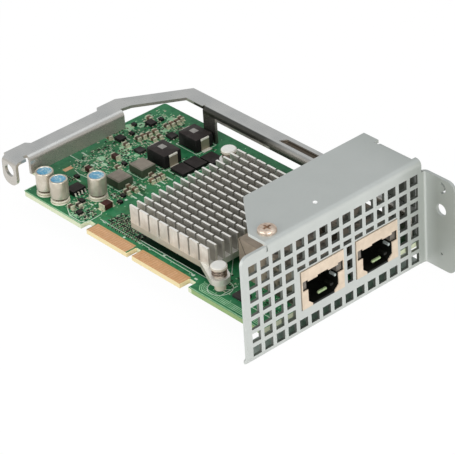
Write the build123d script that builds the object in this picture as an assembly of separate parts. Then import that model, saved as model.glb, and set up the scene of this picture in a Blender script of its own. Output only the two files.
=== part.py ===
from build123d import *
import math
import os

os.makedirs("parts", exist_ok=True)

# A twin-port network adapter card for a server: a board with a pin-fin cooler, two shielded jacks,
# a perforated front plate with a cover flange, and a folded rail frame above the far and left edges.
# Millimetres. X runs along the card towards the front plate, Y from the edge contacts to the far rail,
# Z up. The sizes below are measured from the front plate's outer face (X), its near edge (Y) and
# the board's top face (Z). The last step moves the origin to the centre of the ear's screw hole.

# Sheet metal
sheet = 1.0
bend_inner = 0.8
overrun = 1.5
fit_gap = 0.2

# Perforation of the front plate: square holes in columns and rows, with margins out to its edges
hole_side = 3.15
hole_pitch = 4.5
hole_columns = 15
hole_rows = 7
near_margin = 2.3
far_margin = 1.65
low_margin = 2.1
top_margin = 4.05
grille_drop = 6.2
slot_web = 0.5
smallest_slot = 1.0

# Front plate, bottom flange and cover flange
plate_corner = 2.5
plate_corner_drop = 0.6
bottom_flange_depth = 7.5
bottom_flange_inset = 0.3
bottom_flange_end_run = 8.0
cover_depth = 23.2
cover_start = 9.9
cover_slope_rise = 11.9
cover_slope_start = 8.0
cover_back_corner = 2.0
bend_relief = 0.6
side_wall_inset = 0.3
side_wall_length = 13.1
side_wall_start = 2.4
side_relief = 1.6
side_wall_foot_gap = 0.3
dimple_run = 6.1
dimple_y = 33.7
dimple_radius = 0.85
dimple_floor_radius = 0.3
dimple_depth = 0.4

# Ear at the plate's far end
ear_offset = 1.2
ear_length = 12.0
ear_top_drop = 4.1
ear_bottom_rise = 0.9
ear_corner = 3.0
ear_hole_run = 6.5
ear_hole_z = 13.2
ear_hole_radius = 1.95
crescent_rise = 7.6
crescent_radius = 1.9
crescent_width = 0.6
pip_drop = 15.2
pip_radius = 0.45

# Jacks
jack_width = 16.6
jack_height = 12.8
jack_length = 26.4
jack_proud = 0.3
jack_spacing = 21.6
jacks_middle_y = 40.5
shield_wall = 0.3
opening_width = 11.8
opening_low_z = 2.1
opening_high_z = 8.8
opening_step = 0.5
opening_step_width = 4.2
opening_foot_width = 8.6
opening_foot_z = 0.8
housing_floor = 0.4
plug_depth = 13.5
window_low_z = 6.1
window_high_z = 9.4
window_width = 2.0
window_recess = 0.5
light_pipe_length = 9.0
wire = 0.35
wire_pitch = 1.02
wires_per_jack = 8
wire_drop = 1.6
wire_start = 2.2
wire_run = 7.5
middle_web = 1.25
middle_hole_height = 3.15
middle_hole_pitch = 4.6
middle_hole_first_z = 0.3
middle_holes = 3

# Cooler and the chip below it
sink_to_jacks = 4.8
sink_length = 35.0
sink_width = 43.6
sink_shift = 0.8
chip_height = 2.3
chip_side = 25.0
pad_height = 0.3
pad_side = 24.0
sink_base = 2.0
fin_height = 6.0
fin_length = 3.7
fin_thickness = 0.7
fins_along = 8
fin_rows = 16
lug_out_x = 5.5
lug_out_y = 0.8
lug_radius = 3.1
pin_clearance = 0.15
pin_radius = 1.7
pin_lower_radius = 1.5
pin_head_radius = 2.5
pin_head = 1.0
pin_neck = 2.6
pin_barb_radius = 2.0
pin_barb = 2.4
spring_wire = 0.45
spring_turns = 3

# Board
board_thickness = 1.6
board_gap = 0.3
board_near_y = 6.8
board_overhang = 1.8
left_bay_length = 22.8
right_bay_length = 20.9
left_step_length = 8.6
left_step_width = 9.4
board_corner = 1.0
tongue_proud = 0.6
slot_depth = 3.3
slot_corner = 0.6
slot_first_run = 28.0
slot_first_width = 3.4
tongue_first = 18.8
slot_second_width = 2.3
tongue_second = 21.6
slot_third_width = 3.1

# Edge contacts
contact_pitch = 1.0
contact_width = 0.7
contact_length = 3.3
contact_thickness = 0.05
contact_inset = 0.25
contact_margin = 0.5

# Rail frame
rail_top_z = 11.8
rail_edge_inset = 0.4
rail_width = 5.7
rail_wall_run = 26.3
rail_leg = 5.5
rail_band = 3.3
rail_window_corner = 1.5
rail_narrow_run = 16.2
diagonal_inset = 2.4
diagonal_run_x = 13.3
diagonal_run_y = 21.6
diagonal_width = 5.4
strip_lip_inset = 10.4
strip_edge_inset = 4.0
strip_lip_low = 2.5
strip_lip_high = 40.2
strip_lip_drop = 6.2
strip_wide_end = 6.8
strip_wide_start = 35.6
strip_slope = 1.2
strip_notch = 1.5
tab_out = 3.2
tab_width = 7.0
tab_drop = 8.7
tab_hole_drop = 3.7
tab_hole_radius = 2.1
tab_end_corner = 3.0
pocket_length = 15.6
pocket_width = 2.3
pocket_shift = 2.6
pocket_slope = 1.5
pocket_depth = 0.6

# Round capacitors: two side by side and one further in
can_radius = 2.9
can_height = 7.9
can_base_margin = 0.15
can_foot = 0.5
can_base = 1.15
can_edge = 0.35
can_groove_z = 1.5
can_groove = 0.45
can_gap = 0.8
can_row_x = 14.6
can_row_y = 4.3
can_shift = 1.2

# Tall parts in one column along Y, between the left and the right bay, from the rail wall
# towards the near edge
choke_length = 8.8
choke_width = 7.0
choke_height = 4.6
choke_corner = 1.6
choke_edge = 0.35
choke_to_wall = 0.9
choke_gap = 6.1
clip_width = 3.2
clip_sheet = 0.25
clip_foot = 1.5
clip_rise = 4.3
filter_length = 6.2
filter_width = 5.6
filter_height = 3.0
filter_gap_far = 2.6
filter_gap = 3.8
can_gap_far = 3.65

# Flat packages and the memory chip
stage_length = 6.0
stage_width = 4.8
stage_height = 1.1
stage_gap_x = 0.2
stage_gap_y = 0.5
stage_lag = 0.4
stage_shift = 1.9
memory_length = 3.9
memory_width = 4.9
memory_height = 1.6
memory_stand = 0.15
memory_gap_x = 0.35
memory_gap_y = 1.05
lead_width = 0.4
lead_pitch = 1.27
lead_reach = 0.95
lead_thickness = 0.2
leads_per_side = 4
small_chip_length = 3.0
small_chip_width = 2.6
small_chip_height = 1.0
sensor_length = 2.0
sensor_width = 1.5
transistor_length = 1.6
transistor_width = 1.3
transistor_height = 0.8
tantalum_length = 2.6
tantalum_width = 3.8
tantalum_height = 1.9
small_tantalum_length = 3.0
small_tantalum_width = 1.7
small_tantalum_height = 1.5
tantalum_edge = 0.3
ceramic_length = 2.2
ceramic_width = 1.4
ceramic_height = 1.1
resistor_length = 1.0
resistor_width = 0.5
resistor_height = 0.35
resistor_gap_x = 0.7
resistor_gap_y = 0.6

# Places of the scattered parts: shares of a bay's length, and of the board's width from its near
# edge to the rail wall. A resistor block also has its number of columns and rows.
left_chip_shares = ((0.31, 0.901), (0.769, 0.673), (0.314, 0.681), (0.80, 0.888))
right_sensor_shares = ((-0.215, 0.139), (0.009, 0.06))
left_transistor_shares = ((0.329, 0.966), (0.322, 0.76), (0.87, 0.53), (0.649, 0.275), (0.16, 0.83))
right_transistor_shares = ((0.115, 0.32), (0.215, 0.27))
left_tantalum_shares = ((0.638, 0.363), (0.653, 0.54))
right_tantalum_shares = ((0.16, 0.194),)
left_ceramic_shares = (
    (0.494, 0.748), (0.504, 0.782), (0.529, 0.816), (0.529, 0.857), (0.534, 0.938), (0.544, 0.972),
    (0.549, 1.006), (0.522, 1.042), (0.17, 0.651), (0.50, 0.662), (0.885, 0.482), (0.185, 0.93),
    (0.67, 0.80), (0.68, 0.84),
)
right_ceramic_shares = (
    (0.0, 0.553), (0.115, 0.518), (0.115, 0.55), (0.115, 0.583), (0.0, 0.397), (0.08, 0.357), (0.115, 0.40),
    (-0.21, 0.066), (-0.157, 0.104),
)
left_block_shares = (
    (0.505, 0.19, 3, 4), (0.55, 0.60, 2, 3), (0.13, 0.70, 1, 5), (0.71, 0.965, 3, 2), (0.96, 0.30, 1, 4),
)
right_block_shares = ((0.574, 0.09, 6, 6), (1.02, 0.09, 3, 2), (-0.02, 0.285, 2, 2))

# Screw in the cover
screw_run = 5.0
screw_inset = 14.3
screw_radius = 1.5
screw_head_radius = 2.8
screw_head = 1.3
screw_head_edge = 0.7
screw_length = 4.5
recess_length = 2.8
recess_width = 0.7
recess_depth = 0.8
screw_clearance = 0.1

# Worked out from the sizes above
bend_outer = bend_inner + sheet
bend_middle = bend_inner + sheet / 2
plate_width = near_margin + (hole_columns - 1) * hole_pitch + hole_side + far_margin
plate_bottom_z = -grille_drop - low_margin
cover_top_z = -grille_drop + (hole_rows - 1) * hole_pitch + hole_side + top_margin
side_wall_y = plate_width - side_wall_inset
side_wall_back_x = -side_wall_start - side_wall_length
ear_face_y = plate_width + ear_offset
jack_centres_y = (jacks_middle_y - jack_spacing / 2, jacks_middle_y + jack_spacing / 2)
jack_back_x = jack_proud - jack_length
sink_right_x = jack_back_x - sink_to_jacks
sink_left_x = sink_right_x - sink_length
column_right_x = sink_left_x - right_bay_length
column_x = column_right_x - choke_length / 2
board_left_x = column_right_x - choke_length - left_bay_length
board_right_x = -sheet - board_gap
board_far_y = plate_width + board_overhang
rail_edge_y = board_far_y - rail_edge_inset
rail_wall_y = rail_edge_y - rail_width
bay_width = rail_wall_y - board_near_y
sink_x = (sink_left_x + sink_right_x) / 2
sink_y = (board_near_y + rail_wall_y) / 2 - sink_shift
sink_near_y = sink_y - sink_width / 2
sink_far_y = sink_y + sink_width / 2
sink_bottom_z = chip_height + pad_height
lug_top_z = sink_bottom_z + sink_base
sink_top_z = lug_top_z + fin_height
pin_head_z = lug_top_z + pin_neck + pin_head
pin_offset_x = sink_length / 2 + lug_out_x
pin_offset_y = sink_width / 2 + lug_out_y
pins = {
    "near": (sink_x + pin_offset_x, sink_y - pin_offset_y),
    "far": (sink_x - pin_offset_x, sink_y + pin_offset_y),
}
board_step_x = board_left_x + left_step_length
slot_first_x = board_step_x + slot_first_run
slot_second_x = slot_first_x + slot_first_width + tongue_first
slot_third_x = slot_second_x + slot_second_width + tongue_second
tongue_front_y = board_near_y - tongue_proud
strip_lip_x = board_left_x + strip_lip_inset
tab_face_y = board_near_y - tab_out
can_side = 2 * (can_radius + can_base_margin)
choke_far_y = rail_wall_y - choke_to_wall - choke_width / 2
choke_near_y = choke_far_y - choke_width - choke_gap
filter_far_y = choke_near_y - choke_width / 2 - filter_gap_far - filter_width / 2
filter_near_y = filter_far_y - filter_width - filter_gap
column_can_y = filter_near_y - filter_width / 2 - can_gap_far - can_side / 2
can_row_far_y = board_near_y + can_row_y + can_side / 2
memory_x = column_x - can_side / 2 - memory_gap_x - lead_reach - memory_length / 2
memory_y = can_row_far_y + memory_gap_y + memory_width / 2
stage_x = column_right_x + clip_foot + stage_gap_x + stage_length / 2
stage_y = choke_near_y - stage_lag
screw_x = -screw_run
screw_y = screw_inset
origin = Location((-ear_hole_run, -ear_face_y - sheet / 2, -ear_hole_z))


def block(x_low, x_high, y_low, y_high, z_low, z_high):
    """A box given by its limits."""
    centre = ((x_low + x_high) / 2, (y_low + y_high) / 2, (z_low + z_high) / 2)
    return Pos(*centre) * Box(x_high - x_low, y_high - y_low, z_high - z_low)


def slab(points, z_low, z_high):
    """An outline in plan, raised from one height to another."""
    outline = Plane.XY * make_face(Polyline(*points, close=True))
    return Pos(0, 0, z_low) * extrude(outline, z_high - z_low, dir=(0, 0, 1))


def upright(x, y, z_low, z_high, radius):
    """A round bar on a vertical axis."""
    return Pos(x, y, (z_low + z_high) / 2) * Cylinder(radius, z_high - z_low)


def across(x, y_low, y_high, z, radius):
    """A round bar along Y."""
    return Pos(x, (y_low + y_high) / 2, z) * Rot(90, 0, 0) * Cylinder(radius, y_high - y_low)


def folded(plane, points, low, high):
    """A sheet folded along a path of its middle line, with round bends, drawn on a plane
    and carried along that plane's normal from low to high."""
    path = FilletPolyline(*points, radius=bend_middle)
    strip = plane * trace(path, line_width=sheet)
    solid = extrude(strip, high - low, dir=tuple(plane.z_dir))
    return Pos(*(plane.z_dir * low)) * solid


def side_view():
    """A drawing plane seen along Y: across it runs X, up it runs Z, and its normal is -Y."""
    return Plane(origin=(0, 0, 0), x_dir=(1, 0, 0), z_dir=(0, -1, 0))


def end_view():
    """A drawing plane seen along X: across it runs Y, up it runs Z, and its normal is X."""
    return Plane(origin=(0, 0, 0), x_dir=(0, 1, 0), z_dir=(1, 0, 0))


def save(node, solids):
    """Moves a piece to the card's origin and writes it out under its node's name."""
    pieces = [origin * solid for solid in solids]
    export_step(Compound(children=pieces) if len(pieces) > 1 else pieces[0], f"parts/{node}.step")


def jack_opening(centre_y, grow):
    """The face of one jack as the front plate is cut for it: low and high limits in Y and Z."""
    half = jack_width / 2 + grow
    return centre_y - half, centre_y + half, -grow, jack_height + grow


def grille():
    """The square holes of the front plate. Rows that run into the jacks' cut-outs are left out,
    and the row just above them is cut down to slots. Smaller holes fill the web between the jacks."""
    jacks_low_y, _, jacks_low_z, jacks_high_z = jack_opening(jack_centres_y[0], fit_gap + slot_web)
    jacks_high_y = jack_opening(jack_centres_y[1], fit_gap + slot_web)[1]
    holes = []
    for column in range(hole_columns):
        y_low = near_margin + column * hole_pitch
        beside = y_low + hole_side < jacks_low_y or y_low > jacks_high_y
        for row in range(hole_rows):
            z_low = -grille_drop + row * hole_pitch
            z_high = z_low + hole_side
            if not beside and z_high > jacks_low_z:
                z_low = max(z_low, jacks_high_z)
            if z_high - z_low > smallest_slot:
                holes.append(block(-sheet - overrun, overrun, y_low, y_low + hole_side, z_low, z_high))
    web_half = (jack_spacing - jack_width) / 2 - fit_gap - middle_web
    for hole in range(middle_holes):
        z_low = middle_hole_first_z + hole * middle_hole_pitch
        holes.append(block(-sheet - overrun, overrun, jacks_middle_y - web_half, jacks_middle_y + web_half,
                           z_low, z_low + middle_hole_height))
    return holes


def flange_end():
    """What is cut away at the near end of the bottom flange, so that the flange ends in a slope
    behind the plate."""
    slope_end_y = bottom_flange_inset + bottom_flange_end_run
    return slab(
        (
            (-bend_outer, -overrun),
            (-bend_outer, bottom_flange_inset),
            (-bottom_flange_depth, slope_end_y),
            (-bottom_flange_depth - overrun, slope_end_y),
            (-bottom_flange_depth - overrun, -overrun),
        ),
        plate_bottom_z - overrun,
        plate_bottom_z + sheet + overrun,
    )


def plate_and_cover():
    """The front plate with its bottom flange and cover flange, folded from one sheet in side view.
    Near its left edge the plate has no cover, and its top corner is rounded."""
    flange_z = plate_bottom_z + sheet / 2
    cover_z = cover_top_z - sheet / 2
    low_path = ((-bottom_flange_depth, flange_z), (-sheet / 2, flange_z))
    cover_path = ((-sheet / 2, cover_z), (-cover_depth, cover_z))
    body = folded(side_view(), low_path + cover_path, -plate_width, -cover_start)
    free_top = cover_top_z - plate_corner_drop
    strip = folded(side_view(), low_path + ((-sheet / 2, free_top),), -cover_start, 0)
    strip -= block(-sheet - overrun, overrun, cover_start - bend_relief, cover_start + overrun,
                   cover_top_z - bend_outer - bend_relief, cover_top_z + overrun)
    corner = strip.edges().filter_by(Axis.X).sort_by(lambda edge: edge.center().Z - edge.center().Y)[-1]
    strip = fillet(corner, plate_corner)
    return body + (strip - flange_end())


def cover_trim():
    """What is cut away from the cover flange in plan: its sloping left corner, and at its far
    side the strip beyond the side wall and the relief behind it."""
    low_z = cover_top_z - bend_outer
    high_z = cover_top_z + overrun
    slope_end_y = cover_start + cover_slope_rise
    slope = slab(
        (
            (-cover_slope_start, cover_start - overrun),
            (-cover_slope_start, cover_start),
            (-cover_depth, slope_end_y),
            (-cover_depth - overrun, slope_end_y),
            (-cover_depth - overrun, cover_start - overrun),
        ),
        low_z,
        high_z,
    )
    bend_y = side_wall_y - bend_outer
    edge_y = plate_width + overrun
    relief = block(side_wall_back_x - side_relief, side_wall_back_x, bend_y, edge_y, low_z, high_z)
    bend_place = block(side_wall_back_x, -side_wall_start, bend_y, edge_y, low_z, high_z)
    edge_strip = block(-cover_depth - overrun, -side_wall_start, side_wall_y, edge_y, low_z, high_z)
    return [slope, relief, bend_place, edge_strip]


def side_wall():
    """The wall bent down from the cover's far edge, beside the rail."""
    middle_y = side_wall_y - sheet / 2
    middle_z = cover_top_z - sheet / 2
    path = ((side_wall_y - bend_outer - sheet, middle_z), (middle_y, middle_z), (middle_y, side_wall_foot_gap))
    return folded(end_view(), path, side_wall_back_x, -side_wall_start)


def ear():
    """The ear bent forward at the plate's far end, with its screw hole, a crescent cut and a pip."""
    middle_y = ear_face_y + sheet / 2
    path = ((-sheet / 2, plate_width - sheet), (-sheet / 2, middle_y), (ear_length, middle_y))
    low_z = plate_bottom_z + ear_bottom_rise
    body = folded(Plane.XY, path, low_z, cover_top_z - ear_top_drop)
    corners = body.edges().filter_by(Axis.Y).group_by(Axis.X)[-1]
    body = fillet(corners, ear_corner)
    y_low = ear_face_y - overrun
    y_high = ear_face_y + sheet + overrun
    body -= across(ear_hole_run, y_low, y_high, ear_hole_z, ear_hole_radius)
    crescent_z = ear_hole_z + crescent_rise
    crescent = across(ear_hole_run, y_low, y_high, crescent_z, crescent_radius)
    crescent -= across(ear_hole_run, y_low, y_high, crescent_z, crescent_radius - crescent_width)
    crescent -= block(ear_hole_run - crescent_radius * 2, ear_hole_run, y_low, y_high,
                      crescent_z - crescent_radius * 2, crescent_z + crescent_radius * 2)
    body -= crescent
    return body - across(ear_hole_run, y_low, middle_y, ear_hole_z - pip_drop, pip_radius)


def front_plate():
    """Front plate, cover flange, side wall and ear: one folded and perforated sheet."""
    body = plate_and_cover()
    for cut in cover_trim():
        body -= cut
    corner = body.edges().filter_by(Axis.Z).group_by(Axis.X)[0].sort_by(Axis.Y)[0]
    body = fillet(corner, cover_back_corner)
    body = body + side_wall() + ear()
    cuts = grille()
    for centre_y in jack_centres_y:
        y_low, y_high, z_low, z_high = jack_opening(centre_y, fit_gap)
        cuts.append(block(-sheet - overrun, overrun, y_low, y_high, z_low, z_high))
    cuts.append(upright(screw_x, screw_y, cover_top_z - sheet - overrun, cover_top_z + overrun,
                        screw_radius + screw_clearance))
    dimple = Cone(dimple_floor_radius, dimple_radius, dimple_depth)
    cuts.append(Pos(-dimple_run, dimple_y, cover_top_z - dimple_depth / 2) * dimple)
    return body - cuts


def cover_screw():
    """Pan-head screw in the cover, with a cross recess."""
    head = upright(screw_x, screw_y, cover_top_z, cover_top_z + screw_head, screw_head_radius)
    head = fillet(head.edges().sort_by(Axis.Z)[-1], screw_head_edge)
    body = head + upright(screw_x, screw_y, cover_top_z - screw_length, cover_top_z, screw_radius)
    top_z = cover_top_z + screw_head
    for half_x, half_y in ((recess_length / 2, recess_width / 2), (recess_width / 2, recess_length / 2)):
        body -= block(screw_x - half_x, screw_x + half_x, screw_y - half_y, screw_y + half_y,
                      top_z - recess_depth, top_z + overrun)
    return body


def diagonal_points():
    """The inner line of the rail frame's sloping corner, parallel to its outer line, from the
    strip's bend to the rail's wall."""
    outer_x = board_left_x + diagonal_inset
    outer_y = rail_edge_y - diagonal_run_y
    length = math.hypot(diagonal_run_x, diagonal_run_y)
    along = (diagonal_run_x / length, diagonal_run_y / length)
    start_x = outer_x + along[1] * diagonal_width
    start_y = outer_y - along[0] * diagonal_width
    low_x = strip_lip_x - bend_outer + strip_notch / 2
    low_y = start_y + (low_x - start_x) * along[1] / along[0]
    high_x = start_x + (rail_wall_y - start_y) * along[0] / along[1]
    return (low_x, low_y), (high_x, rail_wall_y)


def rail_plan():
    """Outline of the rail frame's top face: the far rail, the sloping corner and the strip above
    the board's left edge."""
    edge_x = board_left_x + strip_edge_inset
    wide_x = board_left_x + diagonal_inset
    bend_x = strip_lip_x - bend_outer
    tab_right_x = wide_x + sheet + tab_width
    lip_low_y = board_near_y + strip_lip_low
    lip_high_y = board_near_y + strip_lip_high
    wide_end_y = board_near_y + strip_wide_end
    wide_start_y = board_near_y + strip_wide_start
    bend_y = rail_wall_y + bend_outer
    low_point, high_point = diagonal_points()
    return slab(
        (
            (-rail_narrow_run - sheet, rail_edge_y),
            (wide_x + diagonal_run_x, rail_edge_y),
            (wide_x, rail_edge_y - diagonal_run_y),
            (wide_x, wide_start_y),
            (edge_x, wide_start_y - strip_slope),
            (edge_x, wide_end_y + strip_slope),
            (wide_x, wide_end_y),
            (wide_x, tab_face_y + bend_outer),
            (tab_right_x, tab_face_y + bend_outer),
            (tab_right_x, lip_low_y - strip_notch),
            (bend_x, lip_low_y - strip_notch),
            (bend_x, lip_high_y),
            low_point,
            high_point,
            (board_left_x + rail_wall_run, rail_wall_y),
            (board_left_x + rail_wall_run, bend_y),
            (-sheet, bend_y),
            (-sheet, side_wall_y - sheet - fit_gap),
            (-rail_narrow_run - sheet, side_wall_y - sheet - fit_gap),
        ),
        rail_top_z - sheet,
        rail_top_z,
    )


def rail_wall():
    """The wall bent down from the far rail. It stands on the board on two legs, with a long
    window between them."""
    left_x = board_left_x + rail_wall_run
    middle_y = rail_wall_y + sheet / 2
    middle_z = rail_top_z - sheet / 2
    path = ((rail_wall_y + bend_outer + sheet, middle_z), (middle_y, middle_z), (middle_y, 0))
    body = folded(end_view(), path, left_x, -sheet)
    window = block(left_x + rail_leg, -sheet - rail_leg, rail_wall_y - overrun, rail_wall_y + sheet + overrun,
                   -rail_window_corner * 2, rail_top_z - rail_band)
    corners = window.edges().filter_by(Axis.Y).group_by(Axis.Z)[-1]
    return body - fillet(corners, rail_window_corner)


def strip_lip():
    """The lip bent down from the left strip, facing the capacitors."""
    middle_x = strip_lip_x - sheet / 2
    middle_z = rail_top_z - sheet / 2
    path = (
        (strip_lip_x - bend_outer - sheet, middle_z),
        (middle_x, middle_z),
        (middle_x, rail_top_z - strip_lip_drop),
    )
    return folded(side_view(), path, -board_near_y - strip_lip_high, -board_near_y - strip_lip_low)


def rail_tab():
    """The rounded tab bent down at the near end of the left strip, with its screw hole."""
    middle_y = tab_face_y + sheet / 2
    middle_z = rail_top_z - sheet / 2
    path = ((tab_face_y + bend_outer + sheet, middle_z), (middle_y, middle_z), (middle_y, rail_top_z - tab_drop))
    left_x = board_left_x + diagonal_inset + sheet
    body = folded(end_view(), path, left_x, left_x + tab_width)
    corners = body.edges().filter_by(Axis.Y).group_by(Axis.Z)[0]
    body = fillet(corners, tab_end_corner)
    return body - across(left_x + tab_width / 2, tab_face_y - overrun, tab_face_y + sheet + overrun,
                         rail_top_z - tab_hole_drop, tab_hole_radius)


def rail_pocket(z_low, z_high):
    """The plan of the pressed pocket in the far rail, between two heights."""
    inner_y = rail_wall_y + bend_outer
    outer_y = inner_y + pocket_width
    left_x = sink_x - pocket_shift - pocket_length / 2
    right_x = left_x + pocket_length
    outline = ((left_x, inner_y), (left_x + pocket_slope, outer_y), (right_x, outer_y), (right_x, inner_y))
    return slab(outline, z_low, z_high)


def rail_frame():
    """The rail frame: one folded sheet."""
    body = rail_plan() + rail_wall() + strip_lip() + rail_tab()
    body -= rail_pocket(rail_top_z - pocket_depth, rail_top_z + overrun)
    return body + rail_pocket(rail_top_z - sheet - pocket_depth, rail_top_z - pocket_depth)


def circuit_board():
    """The board with its stepped left edge, the three slots beside the contact tongues and the
    holes for the cooler's pins."""
    step_y = board_near_y + left_step_width
    body = slab(
        (
            (board_right_x, board_near_y),
            (slot_third_x, board_near_y),
            (slot_third_x, tongue_front_y),
            (slot_first_x, tongue_front_y),
            (slot_first_x, board_near_y),
            (board_step_x, board_near_y),
            (board_step_x, step_y),
            (board_left_x, step_y),
            (board_left_x, board_far_y),
            (board_right_x, board_far_y),
        ),
        -board_thickness,
        0,
    )
    corners = body.edges().filter_by(Axis.Z).filter_by(lambda edge: edge.center().X < board_step_x + board_corner)
    body = fillet(corners, board_corner)
    slots = (
        (slot_first_x, slot_first_width),
        (slot_second_x, slot_second_width),
        (slot_third_x, slot_third_width),
    )
    for slot_x, slot_width in slots:
        slot = block(slot_x, slot_x + slot_width, tongue_front_y - overrun, board_near_y + slot_depth,
                     -board_thickness - overrun, overrun)
        inner = slot.edges().filter_by(Axis.Z).group_by(Axis.Y)[-1]
        body -= fillet(inner, slot_corner)
    for pin_x, pin_y in pins.values():
        body -= upright(pin_x, pin_y, -board_thickness - overrun, overrun, pin_lower_radius + pin_clearance)
    return body


def edge_contacts():
    """Gold contacts in a row on both faces of each tongue."""
    contacts = []
    y_low = tongue_front_y + contact_inset
    for start_x, tongue in ((slot_first_x + slot_first_width, tongue_first),
                            (slot_second_x + slot_second_width, tongue_second)):
        count = int((tongue - contact_margin) / contact_pitch)
        first_x = start_x + (tongue - (count - 1) * contact_pitch) / 2
        for number in range(count):
            x_low = first_x + number * contact_pitch - contact_width / 2
            for z_low in (0, -board_thickness - contact_thickness):
                contacts.append(block(x_low, x_low + contact_width, y_low, y_low + contact_length,
                                      z_low, z_low + contact_thickness))
    return contacts


def opening_outline(x_low, x_high, centre_y, foot_z):
    """The plug opening of a jack, narrower at its foot and with a step at its top, as a solid."""
    half = opening_width / 2
    foot = opening_foot_width / 2
    step = opening_step_width / 2
    step_z = opening_high_z + opening_step
    outline = Polyline(
        (-foot, foot_z),
        (foot, foot_z),
        (foot, opening_foot_z),
        (half, opening_low_z),
        (half, opening_high_z),
        (step, opening_high_z),
        (step, step_z),
        (-step, step_z),
        (-step, opening_high_z),
        (-half, opening_high_z),
        (-half, opening_low_z),
        (-foot, opening_foot_z),
        close=True,
    )
    plane = Plane(origin=(x_low, centre_y, 0), x_dir=(0, 1, 0), z_dir=(1, 0, 0))
    return extrude(plane * make_face(outline), x_high - x_low, dir=(1, 0, 0))


def light_windows(x_low, x_high, centre_y):
    """Two bars where the light windows are, one on each side of the plug opening."""
    half = opening_width / 2
    return [block(x_low, x_high, y_low, y_low + window_width, window_low_z, window_high_z)
            for y_low in (centre_y - half - window_width, centre_y + half)]


def jack_shield(centre_y):
    """Thin shield round one jack, open below and cut at the front for the plug and the lights."""
    half = jack_width / 2
    inner = half - shield_wall
    body = block(jack_back_x, jack_proud, centre_y - half, centre_y + half, 0, jack_height)
    body -= block(jack_back_x + shield_wall, jack_proud - shield_wall, centre_y - inner, centre_y + inner,
                  -overrun, jack_height - shield_wall)
    front_x = jack_proud - shield_wall
    body -= opening_outline(front_x - overrun, jack_proud + overrun, centre_y, -overrun)
    return body - light_windows(front_x - overrun, jack_proud + overrun, centre_y)


def jack_housing(centre_y):
    """Moulded housing inside the shield, with the plug's cavity and channels for the light pipes."""
    half = jack_width / 2 - shield_wall
    front_x = jack_proud - shield_wall
    body = block(jack_back_x + shield_wall, front_x, centre_y - half, centre_y + half,
                 0, jack_height - shield_wall)
    body -= opening_outline(front_x - plug_depth, front_x + overrun, centre_y, housing_floor)
    pipe_back_x = front_x - window_recess - light_pipe_length
    return body - light_windows(pipe_back_x, front_x + overrun, centre_y)


def jack_light_pipes(centre_y):
    """Two light pipes, one behind each window."""
    front_x = jack_proud - shield_wall - window_recess
    return light_windows(front_x - light_pipe_length, front_x, centre_y)


def jack_wires(centre_y):
    """Eight sprung wires that slope down from the roof of the plug's cavity to its back wall."""
    front_x = jack_proud - shield_wall - wire_start
    bend_x = front_x - wire_run
    back_x = jack_proud - shield_wall - plug_depth
    high_z = opening_high_z - wire
    low_z = high_z - wire_drop
    outline = Polyline(
        (front_x, high_z),
        (bend_x, low_z),
        (back_x, low_z),
        (back_x, low_z + wire),
        (bend_x, low_z + wire),
        (front_x, high_z + wire),
        close=True,
    )
    face = side_view() * make_face(outline)
    first_y = centre_y - (wires_per_jack - 1) / 2 * wire_pitch + wire / 2
    return [Pos(0, first_y + number * wire_pitch, 0) * extrude(face, wire, dir=(0, -1, 0))
            for number in range(wires_per_jack)]


def heatsink():
    """Cooler: a base with two round lugs, and blades left standing where a block is sawn both ways."""
    body = block(sink_left_x, sink_right_x, sink_near_y, sink_far_y, sink_bottom_z, sink_top_z)
    gap_x = (sink_length - fins_along * fin_length) / (fins_along - 1)
    gap_y = (sink_width - fin_rows * fin_thickness) / (fin_rows - 1)
    cuts = []
    for number in range(1, fins_along):
        x_high = sink_left_x + number * (fin_length + gap_x)
        cuts.append(block(x_high - gap_x, x_high, sink_near_y - overrun, sink_far_y + overrun,
                          lug_top_z, sink_top_z + overrun))
    for number in range(1, fin_rows):
        y_high = sink_near_y + number * (fin_thickness + gap_y)
        cuts.append(block(sink_left_x - overrun, sink_right_x + overrun, y_high - gap_y, y_high,
                          lug_top_z, sink_top_z + overrun))
    body -= cuts
    body += lug(pins["near"], sink_right_x - lug_radius, sink_near_y + lug_radius)
    body += lug(pins["far"], sink_left_x + lug_radius, sink_far_y - lug_radius)
    for pin_x, pin_y in pins.values():
        body -= upright(pin_x, pin_y, sink_bottom_z - overrun, lug_top_z + overrun, pin_radius + pin_clearance)
    return body


def lug(pin, root_x, root_y):
    """A round lug at one corner of the cooler's base, with straight sides back into the base."""
    pin_x, pin_y = pin
    disc = upright(pin_x, pin_y, sink_bottom_z, lug_top_z, lug_radius)
    length = math.hypot(pin_x - root_x, pin_y - root_y)
    turn = math.degrees(math.atan2(pin_y - root_y, pin_x - root_x))
    middle = ((pin_x + root_x) / 2, (pin_y + root_y) / 2, (sink_bottom_z + lug_top_z) / 2)
    return disc + Pos(*middle) * Rot(0, 0, turn) * Box(length, lug_radius * 2, sink_base)


def push_pin(pin_x, pin_y):
    """Push pin: head, shank through the lug, shoulder on the board and a barb below it."""
    barb_z = -board_thickness - pin_clearance
    profile = Polyline(
        (0, barb_z - pin_barb),
        (pin_lower_radius / 2, barb_z - pin_barb),
        (pin_barb_radius, barb_z - pin_clearance),
        (pin_barb_radius, barb_z),
        (pin_lower_radius, barb_z),
        (pin_lower_radius, 0),
        (pin_radius, 0),
        (pin_radius, pin_head_z - pin_head),
        (pin_head_radius, pin_head_z - pin_head),
        (pin_head_radius, pin_head_z - pin_head / 3),
        (pin_head_radius - pin_head / 3, pin_head_z),
        (0, pin_head_z),
        close=True,
    )
    return Pos(pin_x, pin_y, 0) * revolve(Plane.XZ * make_face(profile), Axis.Z)


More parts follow.
